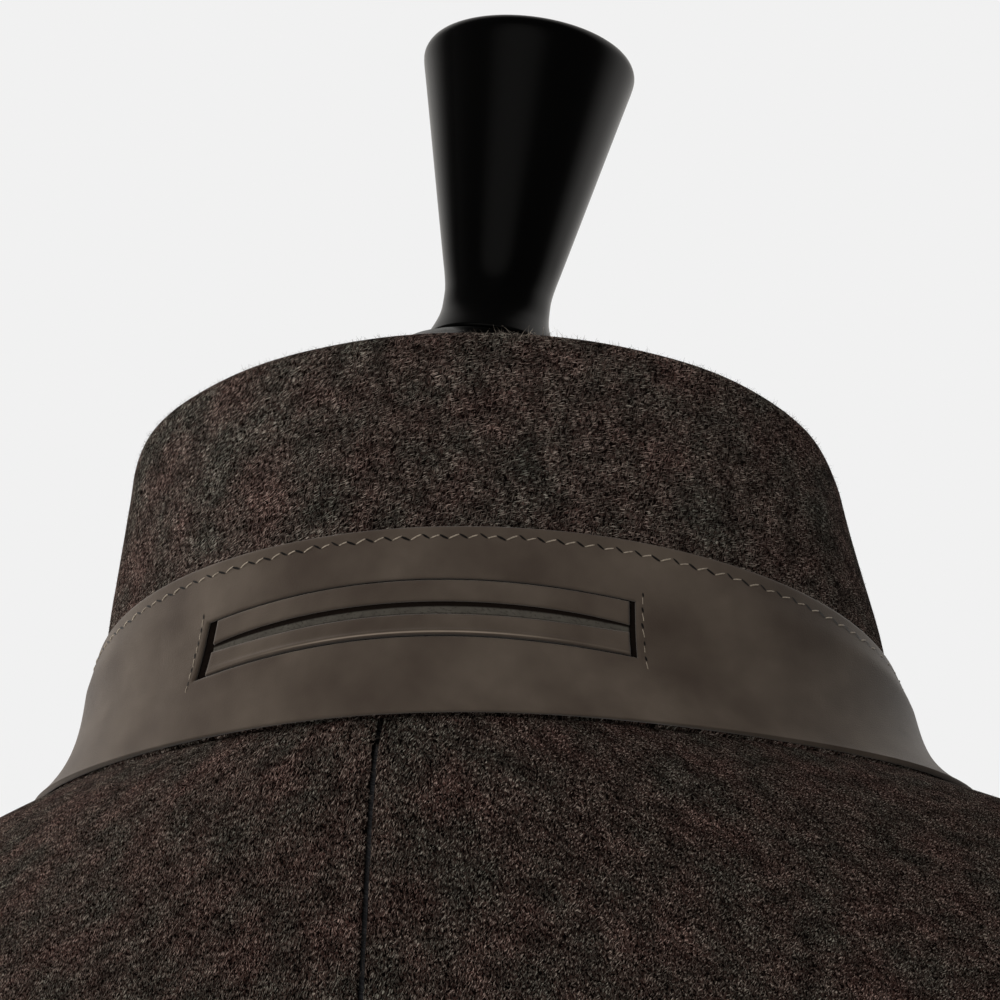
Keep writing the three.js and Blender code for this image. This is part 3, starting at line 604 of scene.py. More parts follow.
lacquer, tree, shader = finish("gloss_black", roughness=0.2, specular=0.3)
hand = use_group(tree, mottle, {"Vector": in_object(tree), "Scale": 30.0, "Contrast": 1.0})
coloured(tree, shader, mixed(tree, hand, linear(2, 2, 2), linear(4, 4, 4)))
tree.links.new(math_node(tree, "MULTIPLY_ADD", hand, 0.08, 0.18), shader.inputs["Roughness"])


# %% Steel, threads and the sheet of painted shade behind the slot
def speckled(name, scale, first, second, relief=0.0, **settings):
    """A finish whose colour wanders between two in fine specks."""
    made, tree, shader = finish(name, **settings)
    specks = noise(tree, in_object(tree), scale, 1.0)
    coloured(tree, shader, mixed(tree, specks, linear(*first), linear(*second)))
    if relief:
        bumped(tree, shader, specks, relief)
    return made


FINE_RELIEF = 0.00008
SPUN = {"relief": FINE_RELIEF, "roughness": 0.6, "sheen": 0.2, "specular": 0.3}
steel = speckled("stand_metal", 1500.0, (26, 26, 28), (36, 36, 38), FINE_RELIEF, roughness=0.45, metallic=0.6)
thread = speckled("pale_thread", 2200.0, (76, 68, 59), (190, 178, 160), **SPUN)
dark_thread = speckled("dark_thread", 2200.0, (26, 21, 18), (48, 41, 36), **SPUN)
# near-black finish of the awl's cuts: painted shade of the holes
awl_hole_shade = speckled("awl_hole_shade", 2200.0, (5, 4, 3), (9, 7, 6), **SPUN)
# a near-black sheet behind the welts: painted shade in the slits round them
slit_shade_black = speckled("slit_shade_sheet", 1800.0, (12, 9, 8), (26, 21, 18), roughness=1.0, specular=0.0)
print(len(bpy.data.materials), "finishes")

# %% [markdown]
# ## Creases
# Jersey on a form hangs softly: shallow pulls run from the armholes and the closing, and the
# skirt swings. A crease is a soft ridge between two places on the surface, with its own width and
# height, placed one by one so that no two are alike. A hollow has a negative height.

# %% Crease helper
CREASE_TAPER, CREASE_TROUGH = 0.7, 0.35
# how evenly a seam draws in, and the size, length and phase of the waves along it
PUCKER_MEAN, PUCKER_WAVES = 0.62, [(0.24, 2.1, 0.0), (0.14, 0.87, 1.3)]


def creased(points, surface, creases):
    """Moves points along their normals by each crease: start and end place, half-width, height."""
    normals = grid_normals(points, False)
    lift = np.zeros(points.shape[:2])
    for start, end, width, height in creases:
        a, b = surface(*map(np.float64, start)), surface(*map(np.float64, end))
        reach = np.linalg.norm(b - a)
        f = ((points - a) @ ((b - a) / reach)) / reach
        nearest = a + np.clip(f, 0, 1)[..., None] * (b - a)
        away = np.linalg.norm(points - nearest, axis=-1) / width
        taper = np.clip(1 - (2 * np.clip(f, 0, 1) - 1) ** 2, 0, 1) ** CREASE_TAPER
        lift += height * taper * np.exp(-away**2) * (1 - CREASE_TROUGH * away**2)
    return points + normals * lift[..., None]


def pucker(edge, run, depth=0.35, reach=3.5):
    """How far a seam draws the cloth in, uneven along the run of stitches."""
    uneven = sum((size * np.sin(run / length + phase) for size, length, phase in PUCKER_WAVES), PUCKER_MEAN)
    return -depth * uneven * np.exp(-edge / reach)


# %% [markdown]
# ## Back and front panels
# The back is cut in two, with a seam down the middle that hangs a little to the wearer's left of
# the collar's slot and opens to a groove above the shoulders. Each front runs from the side seam
# past the centre line. Rows are close together near the collar, where the camera looks, and wider
# down the skirt.

# %% Panel rows and columns
BACK_SEAM_SHIFT, BACK_SEAM_LEAN, BACK_SEAM_START = 5.3, 0.55, 3
BACK_SEAM_OPEN, SEAM_FADE = 3.0, 0.6
# lengths in mm that rows and columns are spread over, and the widest steps between them
SKIRT_RUN, SKIRT_STEP, YOKE_RUN, YOKE_STEP, PANEL_RUN, PANEL_STEP = 735, 9.5, 100, 2.6, 230, 4.2
ARMHOLE_ROWS = 45


def back_seam(level):
    shift = smooth(level, BACK_SEAM_START, SHOULDER) * (BACK_SEAM_SHIFT + BACK_SEAM_LEAN * (NECKLINE - level))
    return np.degrees(np.arcsin(shift / between(BODY_LEVELS, level)[..., 4]))


def panel_open(level):
    """How far the armhole's edge is from the side line, in degrees."""
    out = np.clip(np.abs((level - ARMHOLE_MIDDLE) / (SHOULDER - ARMHOLE_MIDDLE)), 0, 1)
    return ARMHOLE_HALF_ANGLE * np.sqrt(1 - out**2)


armhole_levels = ARMHOLE_MIDDLE + np.cos(np.radians(np.linspace(180, 0, ARMHOLE_ROWS)))
panel_levels = np.concatenate([
    spaced(SKIRT_RUN, SKIRT_STEP, True, False)[:-1] * UNDERARM,
    armhole_levels[:-1],
    SHOULDER + spaced(YOKE_RUN, YOKE_STEP, False, True) * (NECKLINE - SHOULDER),
])[:, None]
panel_across = spaced(PANEL_RUN, PANEL_STEP)


def seam_angle(surface, level):
    reach = np.linalg.norm(surface(level, 1.0) - surface(level, 0.0), axis=-1)
    return SEAM / 2 / reach


def panel_grid(start, end, side):
    """Levels and angles between a panel's two sides, with columns clockwise seen from above."""
    angle = start + (end - start) * panel_across
    return panel_levels + 0 * angle, angle if side > 0 else angle[:, ::-1]


def back_places(side):
    seam = seam_angle(coat_points, panel_levels)
    groove = 1 + (BACK_SEAM_OPEN - 1) * smooth(panel_levels, SHOULDER, SHOULDER + SEAM_FADE)
    start = back_seam(panel_levels) + side * seam * groove
    return panel_grid(start, side * (90 - panel_open(panel_levels) - seam), side)


def front_places(side):
    start = 90 + panel_open(panel_levels) + seam_angle(coat_points, panel_levels)
    end = 180 + np.degrees(np.arcsin(LAP / between(BODY_LEVELS, panel_levels)[..., 4]))
    return panel_grid(side * start, side * end, side)


# %% Creases on the panels
BACK_CREASES = {
    1: [((6.2, 56), (5.2, 24), 15, 1.6), ((5.7, 57), (4.5, 34), 12, -1.5),
        ((5.0, 80), (3.9, 40), 14, 1.8), ((7.5, 70), (8.8, 34), 16, 0.9),
        ((4.4, 12), (3.2, 26), 17, -1.3), ((3.1, 60), (2.2, 38), 18, 1.7)],
    -1: [((6.3, -57), (5.4, -22), 16, 1.4), ((5.5, -58), (4.7, -30), 13, -1.7),
         ((5.1, -82), (3.7, -46), 15, 1.6), ((7.6, -66), (9.0, -30), 15, 0.8),
         ((4.2, -10), (3.0, -22), 18, -1.4), ((3.3, -64), (2.3, -44), 16, 1.5)],
}
FRONT_CREASES = {
    1: [((6.4, 122), (5.0, 150), 15, 1.9), ((5.8, 121), (4.6, 142), 12, -1.7),
        ((5.0, 98), (4.0, 132), 15, 1.8), ((3.9, 172), (3.4, 140), 12, 1.5),
        ((5.2, 172), (4.9, 146), 11, 1.2), ((7.4, 112), (8.9, 142), 16, 0.9)],
    -1: [((6.5, -123), (5.2, -148), 14, 1.7), ((5.7, -121), (4.4, -140), 13, -1.6),
         ((5.1, -97), (4.2, -130), 14, 1.7), ((3.6, -168), (3.2, -138), 13, 1.4),
         ((4.8, -168), (4.5, -144), 12, 1.3), ((7.5, -110), (9.0, -140), 15, 1.0)],
}


def panel(name, surface, places, creases, seams, centre):
    level, angle = places
    points = creased(surface(level, angle), surface, creases)
    edge = edge_distance(points)
    normals = grid_normals(points, False)
    along_seam = edge_distance(points, rows=(False, True), columns=seams)
    points = points + normals * pucker(along_seam, run_lengths(points, 0))[..., None]
    made = wall(name, points, wool, 0, -WOOL, edge, roll=1.15, centre=centre)
    return made, points


last = len(panel_across) - 1
coat = {}
sheets = {}
for side, hand in ((1, "left"), (-1, "right")):
    coat[f"back_{hand}"], sheets[f"back_{hand}"] = panel(
        f"cloth_back_{hand}", coat_points, back_places(side), BACK_CREASES[side], (True, True),
        0 if side > 0 else last)
    coat[f"front_{hand}"], sheets[f"front_{hand}"] = panel(
        f"cloth_front_{hand}", lap_points if side > 0 else coat_points, front_places(side),
        FRONT_CREASES[side], (side > 0, side < 0), last if side > 0 else 0)

# %% [markdown]
# ## Sleeves
# A sleeve leaves the armhole sideways, turns over its head and hangs. The head is a smooth curve
# from the armhole's own edge to the first ring of the arm, and below that a table gives the
# tube's middle and size. A hanging sleeve folds at the elbow, more on its inner side.

# %% Sleeve surface
# columns: height, middle x and y, half-width across, half-depth front to back
SLEEVE_LEVELS = np.array([[1130, 243, -2, 38, 80], [1040, 241, -3, 36, 75], [950, 241, -8, 34, 70],
                          [850, 247, -15, 31, 63], [750, 253, -22, 29, 58]], float)
# columns: height, turn from the outer side towards the back, height and width of the hollow, depth
SLEEVE_FOLDS = [(1065, 120, 42, 55, 5), (985, 250, 30, 60, 6), (925, 215, 26, 50, 5), (868, 60, 34, 55, 4)]
# finer wrinkles of the same kind that only the cloth has
SLEEVE_WRINKLES = [(1012, 150, 9, 46, 2.2), (1003, 320, 10, 40, 1.8), (972, 20, 9, 52, 1.7),
                   (958, 190, 8, 40, 2.4), (941, 290, 9, 48, 2.0), (905, 110, 10, 44, 1.8),
                   (893, 255, 8, 38, 1.6), (1095, 200, 14, 40, 2.0), (832, 170, 12, 46, 1.5),
                   (800, 330, 14, 42, 1.3), (1110, 285, 12, 34, 1.8)]
WRINKLE_LEAN = 0.25
HEAD_START_PULL, HEAD_END_PULL, HEAD_SLOPE = 0.45, 1.0, 20
# lengths of arm and head in mm, and the widest steps along them
ARM_RUN, ARM_STEP, HEAD_RUN, HEAD_STEP, SLEEVE_SIDES = 385, 7.5, 120, 3.6, 96
HEAD_PUCKER, HEAD_PUCKER_REACH, HEAD_PUCKER_STEP = 0.6, 5, 5.0


def armhole_points(turn):
    level = ARMHOLE_MIDDLE + np.cos(np.radians(turn))
    angle = 90 - ARMHOLE_HALF_ANGLE * np.sin(np.radians(turn))
    edge = coat_points(level, angle)
    inward = coat_points(np.float64(ARMHOLE_MIDDLE), np.float64(90)) - edge
    normal = outward(coat_points, level, angle)
    inward = unit(inward - normal * np.sum(inward * normal, -1, keepdims=True))
    return edge + inward * SEAM


def sleeve_ring(place, turn):
    z, x, y, across, deep = np.moveaxis(between(SLEEVE_LEVELS, place), -1, 0)
    c, s = np.cos(np.radians(turn)), np.sin(np.radians(turn))
    hollow = 0
    for lean, hollows in ((0, SLEEVE_FOLDS), (WRINKLE_LEAN, SLEEVE_WRINKLES)):
        for height, round_at, tall, wide, depth in hollows:
            round_by = turn_between(turn, round_at)
            away = np.hypot((z - height - lean * round_by) / tall, round_by / wide)
            hollow = hollow + depth * np.exp(-away * away)
    return np.stack([x + (across - hollow) * c, y + (deep - hollow) * s, z + 0 * c], -1)


def sleeve_points(row, turn):
    start, end = armhole_points(turn), sleeve_ring(np.zeros_like(row), turn)
    length = np.linalg.norm(end - start, axis=-1, keepdims=True)
    slope = np.radians(HEAD_SLOPE) * (0.5 + 0.5 * np.cos(np.radians(turn)))
    out = np.stack([np.cos(slope), 0 * slope, -np.sin(slope)], -1) * length * HEAD_START_PULL
    down = np.array([0, 0, -1.0]) * length * HEAD_END_PULL
    f = np.clip(row, 0, 1)[..., None]
    head = (start * (2 * f**3 - 3 * f**2 + 1) + out * (f**3 - 2 * f**2 + f)
            + end * (3 * f**2 - 2 * f**3) + down * (f**3 - f**2))
    return np.where(row[..., None] > 1, sleeve_ring(np.maximum(row - 1, 0), turn), head)


# %% Sleeve walls
sleeve_rows = np.concatenate([1 + 4 * (1 - spaced(ARM_RUN, ARM_STEP, True, False)[:-1]),
                              1 - spaced(HEAD_RUN, HEAD_STEP, False, True)])
sleeve_turns = -np.linspace(0, 360, SLEEVE_SIDES + 1)[:-1]
for side, hand in ((1, "left"), (-1, "right")):
    row, turn = np.meshgrid(sleeve_rows, sleeve_turns, indexing="ij")
    points = sleeve_points(row, side * turn) * (side, 1, 1)
    edge = edge_distance(points, columns=(False, False))
    to_head = edge_distance(points, rows=(False, True), columns=(False, False))
    run = np.cumsum(np.full(points.shape[:2], HEAD_PUCKER_STEP), 1)
    drawn_in = pucker(to_head, run, HEAD_PUCKER, HEAD_PUCKER_REACH)
    points = points + grid_normals(points, True) * drawn_in[..., None]
    coat[f"sleeve_{hand}"] = wall(f"cloth_sleeve_{hand}", points, wool, 0, -WOOL, edge, roll=1.35, ring=True)
    sheets[f"sleeve_{hand}"] = points

# %% [markdown]
# ## Collar
# The collar stands up in two layers of felted jersey. Its band is faced with leather, and its
# upper part, turned up, bulges a little. At the upper edge the two layers close on each other and
# roll over into a soft crest.

# %% Collar surface
COLLAR_LEVELS = np.array([[1419, 31, 18, 2, 107, 71.5, 80, 2], [1447, 40, 7, 0, 88.8, 60, 74, 2],
                          [1494, 33, 25, 0, 79, 49, 70, 2]], float)
COLLAR_HEIGHT, BAND_HEIGHT, FALL_BULGE, COLLAR_END = 79, 38, 1.4, 162
BAND_HOLLOW, HOLLOW_HEIGHT, HOLLOW_SHAPE = 3.2, 30, 0.7
COLLAR_WOOL, LEATHER, STRIP = 2.0, 1.2, 0.4
SLOT_HALF_ANGLE, SLOT_BOTTOM, SLOT_GAP_BOTTOM, SLOT_GAP_TOP, SLOT_TOP = 29, 15.5, 20.1, 22.6, 27.2
SLOT_SAG, SLOT_SAG_TURNS, SAG_EASE = 4.1, 1.5, 8
SLOT_LEAN, SLOT_END_GAP = 1.0, 0.9


def collar_points(height, angle):
    """The under collar's outer face. height is measured up the centre back from the neck seam."""
    in_band = np.clip(np.minimum(height, BAND_HEIGHT - height) / SAG_EASE, 0, 1)
    turned = np.minimum(np.abs(angle) * SLOT_SAG_TURNS, 180)
    h = height - in_band * SLOT_SAG * np.sin(np.radians(turned)) ** 2
    middle, f = BAND_HEIGHT / COLLAR_HEIGHT, (h / COLLAR_HEIGHT)[..., None]
    level = (COLLAR_LEVELS[0] * (f - middle) * (f - 1) / middle
             + COLLAR_LEVELS[1] * f * (f - 1) / (middle * (middle - 1))
             + COLLAR_LEVELS[2] * f * (f - middle) / (1 - middle))
    fall = np.clip((h - BAND_HEIGHT) / (COLLAR_HEIGHT - BAND_HEIGHT), 0, 1)
    level[..., 4:7] += (FALL_BULGE * np.sin(np.pi * fall))[..., None]
    level[..., 4] -= BAND_HOLLOW * np.sin(np.pi * np.clip(h / HOLLOW_HEIGHT, 0, 1) ** HOLLOW_SHAPE)
    return ring_points(level, angle)


def leaned(height, angle):
    """The slot's ends lean: the band's columns move to the coat's left towards its bottom edge."""
    down = np.clip((SLOT_TOP - height) / (SLOT_TOP - SLOT_BOTTOM), 0, 1)
    edge = np.clip(height / SAG_EASE, 0, 1)
    return angle + SLOT_LEAN * down * edge * (1 - np.abs(angle) / COLLAR_END)


MM_PER_DEGREE = 1.35


def collar_grid(bottom, top, end, step_up, step_along, breaks=()):
    """Heights and angles of a strip on the collar, close together at its edges and at breaks."""
    def joined(stops, scale, step):
        parts = [low + (high - low) * spaced((high - low) * scale, step)
                 for low, high in zip(stops[:-1], stops[1:])]
        return np.unique(np.round(np.concatenate(parts), 5))

    ends = {a for _, a in breaks}
    heights = joined([bottom, *(h for h, _ in breaks), top], 1, step_up)
    angles = joined([-end, *sorted(ends | {-a for a in ends}), end], MM_PER_DEGREE, step_along)
    return np.meshgrid(heights, angles, indexing="ij")


# %% The two layers of the collar
EDGE_ROLL, FOLD_RISE, FALL_EASE, CREST_CALM, CREST_FROM = 3.4, 0.5, 14, 0.6, 66
# how far each layer's outer and inner face moves in as the two meet at the crest
UNDER_OUTER, UNDER_INNER, TOP_OUTER, TOP_INNER = -1.44, 0.5, 0.78, 2.74
COLLAR_EDGE_ROLL = 0.8
# size, degrees and mm per radian, and phase of the waves in the turned-up part
COLLAR_WAVES = [(0.4, 9.0, np.inf, 0.6), (0.3, 4.1, 11, 0), (0.3, 15.0, -9, 0)]


def fold_over(from_top):
    """0 at the collar's upper edge and 1 below it: how far the two layers have turned apart."""
    return np.sqrt(1 - (1 - np.clip(from_top / EDGE_ROLL, 0, 1)) ** 2)


height, collar_angles = collar_grid(SEAM, COLLAR_HEIGHT + FOLD_RISE, COLLAR_END, 2.0, 2.6)
soft_fall = (smooth(height, BAND_HEIGHT, BAND_HEIGHT + FALL_EASE)
             * (1 - CREST_CALM * smooth(height, CREST_FROM, COLLAR_HEIGHT)))
ripple = sum(size * np.sin(collar_angles / turned + height / up + phase)
             for size, turned, up, phase in COLLAR_WAVES)
fall = collar_points(height, collar_angles)
fall = fall + outward(collar_points, height, collar_angles) * (ripple * soft_fall)[..., None]
edge = edge_distance(fall)
meeting = 1 - fold_over(COLLAR_HEIGHT + FOLD_RISE - height)
middle = int(np.argmin(np.abs(collar_angles[0])))
for layer, outer, inner in (
        ("under", UNDER_OUTER * meeting, UNDER_INNER * meeting - COLLAR_WOOL),
        ("top", TOP_OUTER * meeting - COLLAR_WOOL - SEAM, TOP_INNER * meeting - 2 * COLLAR_WOOL - SEAM)):
    coat[f"collar_{layer}"] = wall(f"cloth_collar_{layer}", fall, collar_wool, outer, inner, edge,
                                   roll=COLLAR_EDGE_ROLL, centre=middle)
sheets["collar_under"] = fall + grid_normals(fall, False) * (UNDER_OUTER * meeting)[..., None]

# %% [markdown]
# ## Leather band, slot and strip
# The band is one strip of nubuck with a window cut at the back. Two welts of the same leather
# fill the window above and below, and between them lies the felt strip; the lower welt carries a
# painted highlight along its fold and painted shade under it. Behind them all a thin near-black
# sheet is painted shade for the slits round the welts. Cutting the window into the grid keeps the
# leather's edge round all the way along it, which a boolean would not.

# %% Strips on the collar
def half_way(grid):
    return (grid[:-1, :-1] + grid[1:, 1:]) / 2


def on_collar(name, material, span, end, faces, roll, shape=None, breaks=(), steps=(1.6, 2.4), close=None,
              moved=0.0):
    """A wall on the collar.

    span is its bottom and top, end its half-angle, faces its outer and inner height, and shape an
    extra height over it. breaks are the window's lower and upper height, each with its half-angle.
    close moves its points up or down, and moved turns it.
    """
    height, upright = collar_grid(*span, end, *steps, breaks)
    angle = leaned(height, upright + moved)
    drawn = height if close is None else height + close(height, upright / end)
    points = collar_points(drawn, angle)
    edge = edge_distance(points)
    present = None
    middle = int(np.argmin(np.abs(upright[0])))
    if breaks:
        (low, window), (high, _) = breaks
        along = run_lengths(points, 1)
        along = along - along[:, middle:middle + 1]
        ends = [along[:, int(np.argmin(np.abs(upright[0] - a)))][:, None] for a in (-window, window)]
        beside = np.maximum(np.maximum(ends[0] - along, along - ends[1]), 0)
        above = np.maximum(np.maximum(low - height, height - high), 0)
        edge = np.minimum(edge, np.hypot(beside, above))
        level, turn = half_way(height), half_way(upright)
        present = ~((level > low) & (level < high) & (np.abs(turn) < window))
    offset = faces[0] if shape is None else faces[0] + shape(height, angle)
    return wall(name, points, material, offset, faces[1], edge, roll=roll, present=present, centre=middle)


# %% Band, welts, strip and the sheet of painted shade behind them
ON_COLLAR = SEAM + LEATHER
SLOT_SHORT_LEFT, END_CLOSING, END_SHARPNESS = 0.45, 0.55, 6
FOLD_SIZE, FOLD_AT, FOLD_WIDTH, FOLD_FADE = 0.8, 16.35, 0.55, 4
UPPER_SUNK, LOWER_SUNK, STRIP_UNDER, SHADE_SHEET_UNDER = 0.1, 0.25, 0.4, 1
SHADE_SHEET_FACES = (SEAM - 0.05, 0.1)
inset = 1 - SLOT_END_GAP / (math.radians(SLOT_HALF_ANGLE) * COLLAR_LEVELS[0, 5])
slot_end = SLOT_HALF_ANGLE * inset - SLOT_SHORT_LEFT


def closing(fixed, free, by):
    """Moves a welt's free edge at the slot's ends, while its other edge stays."""
    def moves(height, share):
        return by * share**END_SHARPNESS * (height - fixed) / (free - fixed)
    return moves


def welt_fold(height, angle):
    ridge = FOLD_SIZE * np.exp(-((height - FOLD_AT) / FOLD_WIDTH) ** 2)
    return ridge * (1 - (np.abs(angle) / SLOT_HALF_ANGLE) ** FOLD_FADE)


coat["collar_band"] = on_collar(
    "leather_band", nubuck, (0.0, BAND_HEIGHT), COLLAR_END, (ON_COLLAR, SEAM), 0.5,
    breaks=((SLOT_BOTTOM, SLOT_HALF_ANGLE), (SLOT_TOP, SLOT_HALF_ANGLE)))
coat["slot_welt_upper"] = on_collar(
    "leather_welt_upper", nubuck, (SLOT_GAP_TOP, SLOT_TOP - SEAM / 2), slot_end,
    (ON_COLLAR - UPPER_SUNK, SEAM), 0.55, steps=(0.8, 1.6), moved=-SLOT_SHORT_LEFT,
    close=closing(SLOT_TOP, SLOT_GAP_TOP, -END_CLOSING))
# the lower welt's finish has a painted highlight along its fold and painted shade under it
coat["slot_welt_lower"] = on_collar(
    "leather_welt_lower", lit_fold_nubuck, (SLOT_BOTTOM + SEAM / 2, SLOT_GAP_BOTTOM), slot_end,
    (ON_COLLAR - LOWER_SUNK, SEAM), 0.7, shape=welt_fold, steps=(0.25, 1.6), moved=-SLOT_SHORT_LEFT,
    close=closing(SLOT_BOTTOM, SLOT_GAP_BOTTOM, END_CLOSING))
coat["slot_strip"] = on_collar(
    "felt_strip", felt, (SLOT_GAP_BOTTOM - STRIP_UNDER, SLOT_GAP_TOP + STRIP_UNDER), slot_end,
    (SEAM + STRIP, SEAM), 0.3, steps=(0.4, 1.6), moved=-SLOT_SHORT_LEFT)
# painted shade: a thin near-black sheet behind the welts darkens the slits round them
slit_shade = on_collar(
    "slit_shade_sheet", slit_shade_black, (SLOT_BOTTOM - SHADE_SHEET_UNDER, SLOT_TOP + SHADE_SHEET_UNDER),
    SLOT_HALF_ANGLE + SHADE_SHEET_UNDER, SHADE_SHEET_FACES, 0.1, steps=(1.6, 1.6))

# %% [markdown]
# ## Dress form, knob and stand
# The form is a smooth closed body that fills the coat's shoulders from inside, half a millimetre
# under the cloth, with a lacquered neck cap and knob, a pole and a round base. Turned parts are
# profiles swept round their axis; corners are softened first by cutting them twice.

# %% Lofts and turned parts
FORM_LEVELS = np.array([[770, 0, 0, 0, 156, 100, 96, 2.1], [865, 0, 0, 0, 172, 111, 103, 2.1],
                        [1030, 0, 0, 0, 147, 93, 98, 2.1], [1180, 0, 2, 0, 170, 106, 112, 2.2],
                        [1290, 0, 26, 0, 184, 105, 110, 2.3], [1356, -14, 82, 0, 193, 99, 105, 2.2]], float)
NECK_LEVELS = np.array([[1414, 28, 18, 0, 82, 60, 67, 2], [1444, 18, 8, 0, 62, 50, 57, 2],
                        [1474, 17, 0, 0, 50, 43, 51, 2]], float)
SEAT_GAP, NECK_RADIUS = 0.5, 42
NECK_TOP = Vector((1.4, -3, 1501.5))
NECK_TILT_FORWARD, NECK_TILT_SIDE = math.radians(20), math.radians(5.9)
neck_frame = (Matrix.Translation(NECK_TOP) @ Matrix.Rotation(NECK_TILT_FORWARD, 4, "X")
              @ Matrix.Rotation(-NECK_TILT_SIDE, 4, "Y"))


def closed_loft(name, rings, material):
    """A closed body through rings that run clockwise seen from above, from the lowest to the highest."""
    rings = np.asarray(rings)
    count, columns = rings.shape[:2]
    at = np.arange(count * columns).reshape(count, columns)
    at = np.concatenate([at, at[:, :1]], 1)
    closed = np.concatenate([rings, rings[:, :1]], 1)
    u, v = run_lengths(closed, 1), run_lengths(closed, 0)
    faces, uv = [], []
    for i in range(count - 1):
        for j in range(columns):
            corners = [(i, j), (i + 1, j), (i + 1, j + 1), (i, j + 1)]
            faces.append([int(at[c]) for c in corners])
            uv += [(u[c], v[c]) for c in corners]
    vertices = list(rings.reshape(-1, 3))
    for row, is_top in ((0, False), (count - 1, True)):
        hub = len(vertices)
        vertices.append(rings[row].mean(0))
        for j in range(columns):
            pair = (int(at[row, j]), int(at[row, j + 1]))
            faces.append([hub, *(pair[::-1] if is_top else pair)])
            uv += [(u[row, j], v[row, j])] * 3
    made = mesh_object(name, vertices, faces, uv, material, [len(face) == 4 for face in faces])
    print(f"{name}: {len(faces)} faces")
    return made


def softened(outline, times=2):
    """Cuts an outline's corners, and keeps its two ends on the axis."""
    outline = np.array(outline, float)
    for _ in range(times):
        a, b = outline[:-1], outline[1:]
        cut = np.stack([0.75 * a + 0.25 * b, 0.25 * a + 0.75 * b], 1).reshape(-1, 2)
        outline = np.concatenate([outline[:1], cut[1:-1], outline[-1:]])
    return outline


def carried(points, place):
    """Points moved by a placement matrix."""
    place = np.array(place)
    return np.asarray(points, float) @ place[:3, :3].T + place[:3, 3]


def turned(name, outline, material, place=Matrix(), sides=72):
    turn = np.radians(np.linspace(0, 360, sides + 1)[:-1])
    outline = [point for point in outline if point[0] > 0]
    rings = [np.stack([r * np.sin(turn), r * np.cos(turn), np.full(sides, h)], -1) for r, h in outline]
    return closed_loft(name, carried(rings, place), material)


# %% Torso
FORM_SIDES = 96
form_angles = np.linspace(-180, 180, FORM_SIDES + 1)[:-1]


def seated_ring(level):
    over_back = np.maximum(0, 1 - np.abs(form_angles) / 90)
    column = form_angles + over_back * back_seam(level)
    level = level + 0 * column
    return coat_points(level, column) - outward(coat_points, level, column) * (WOOL + SEAT_GAP)


def rings_through(table, count):
    """Even rings from a table's first row to its last."""
    places = np.linspace(0, len(table) - 1, count)
    return [ring_points(between(table, np.full(FORM_SIDES, p)), form_angles) for p in places]


def filled(a, b, count):
    """Rings between two others."""
    return [a + (b - a) * k / (count + 1) for k in range(1, count + 1)]


form = rings_through(FORM_LEVELS, 51)
seated = [seated_ring(np.float64(level)) for level in np.linspace(8, 10.5, 16)]
neck = rings_through(NECK_LEVELS, 13)
turn = np.radians(form_angles)
neck_top = carried(np.stack([np.sin(turn), np.cos(turn), 0 * turn], -1) * NECK_RADIUS, neck_frame)
torso = closed_loft("dress_form", (
    form + filled(form[-1], seated[0], 4) + seated + filled(seated[-1], neck[0], 3) + neck
    + filled(neck[-1], neck_top, 3) + [neck_top]), cover)

# %% Neck cap, knob, pole and base
CAP = [(0, 0.3), (42, 0.3), (43.5, 2), (43.5, 5), (41, 9), (32, 14.5), (23, 20), (19, 25), (0, 25)]
KNOB = [(0, 25.3), (15.4, 25.3), (14.4, 27.5), (13.2, 30.2), (12.3, 33), (12.1, 36.5), (12.2, 40.5),
        (14.2, 49), (23.4, 90), (24.6, 95), (24.6, 96.6), (23.7, 98.1), (21.5, 98.8), (0, 99)]
FLANGE_TOP = FORM_LEVELS[0, 0] - SEAM
POLE = [(0, 16.3), (16, 16.3), (16, FLANGE_TOP - 20), (32, FLANGE_TOP - 10), (60, FLANGE_TOP - 5),
        (60, FLANGE_TOP), (0, FLANGE_TOP)]
BASE = [(0, 0), (183, 0), (185, 2), (185, 5), (182, 7), (32, 13), (28, 16), (0, 16)]
cap = turned("neck_cap", softened(CAP), lacquer, neck_frame, 96)
knob = turned("knob", softened(KNOB), lacquer, neck_frame, 96)
pole = turned("pole", softened(POLE, 1), steel)
base = turned("base_plate", softened(BASE, 1), steel)

# %% [markdown]
# ## Buttons
# Four horn buttons with a sunk face and four holes close the front. The disc is a turned profile,
# and the holes are cut with a boolean, which is then made part of the mesh.

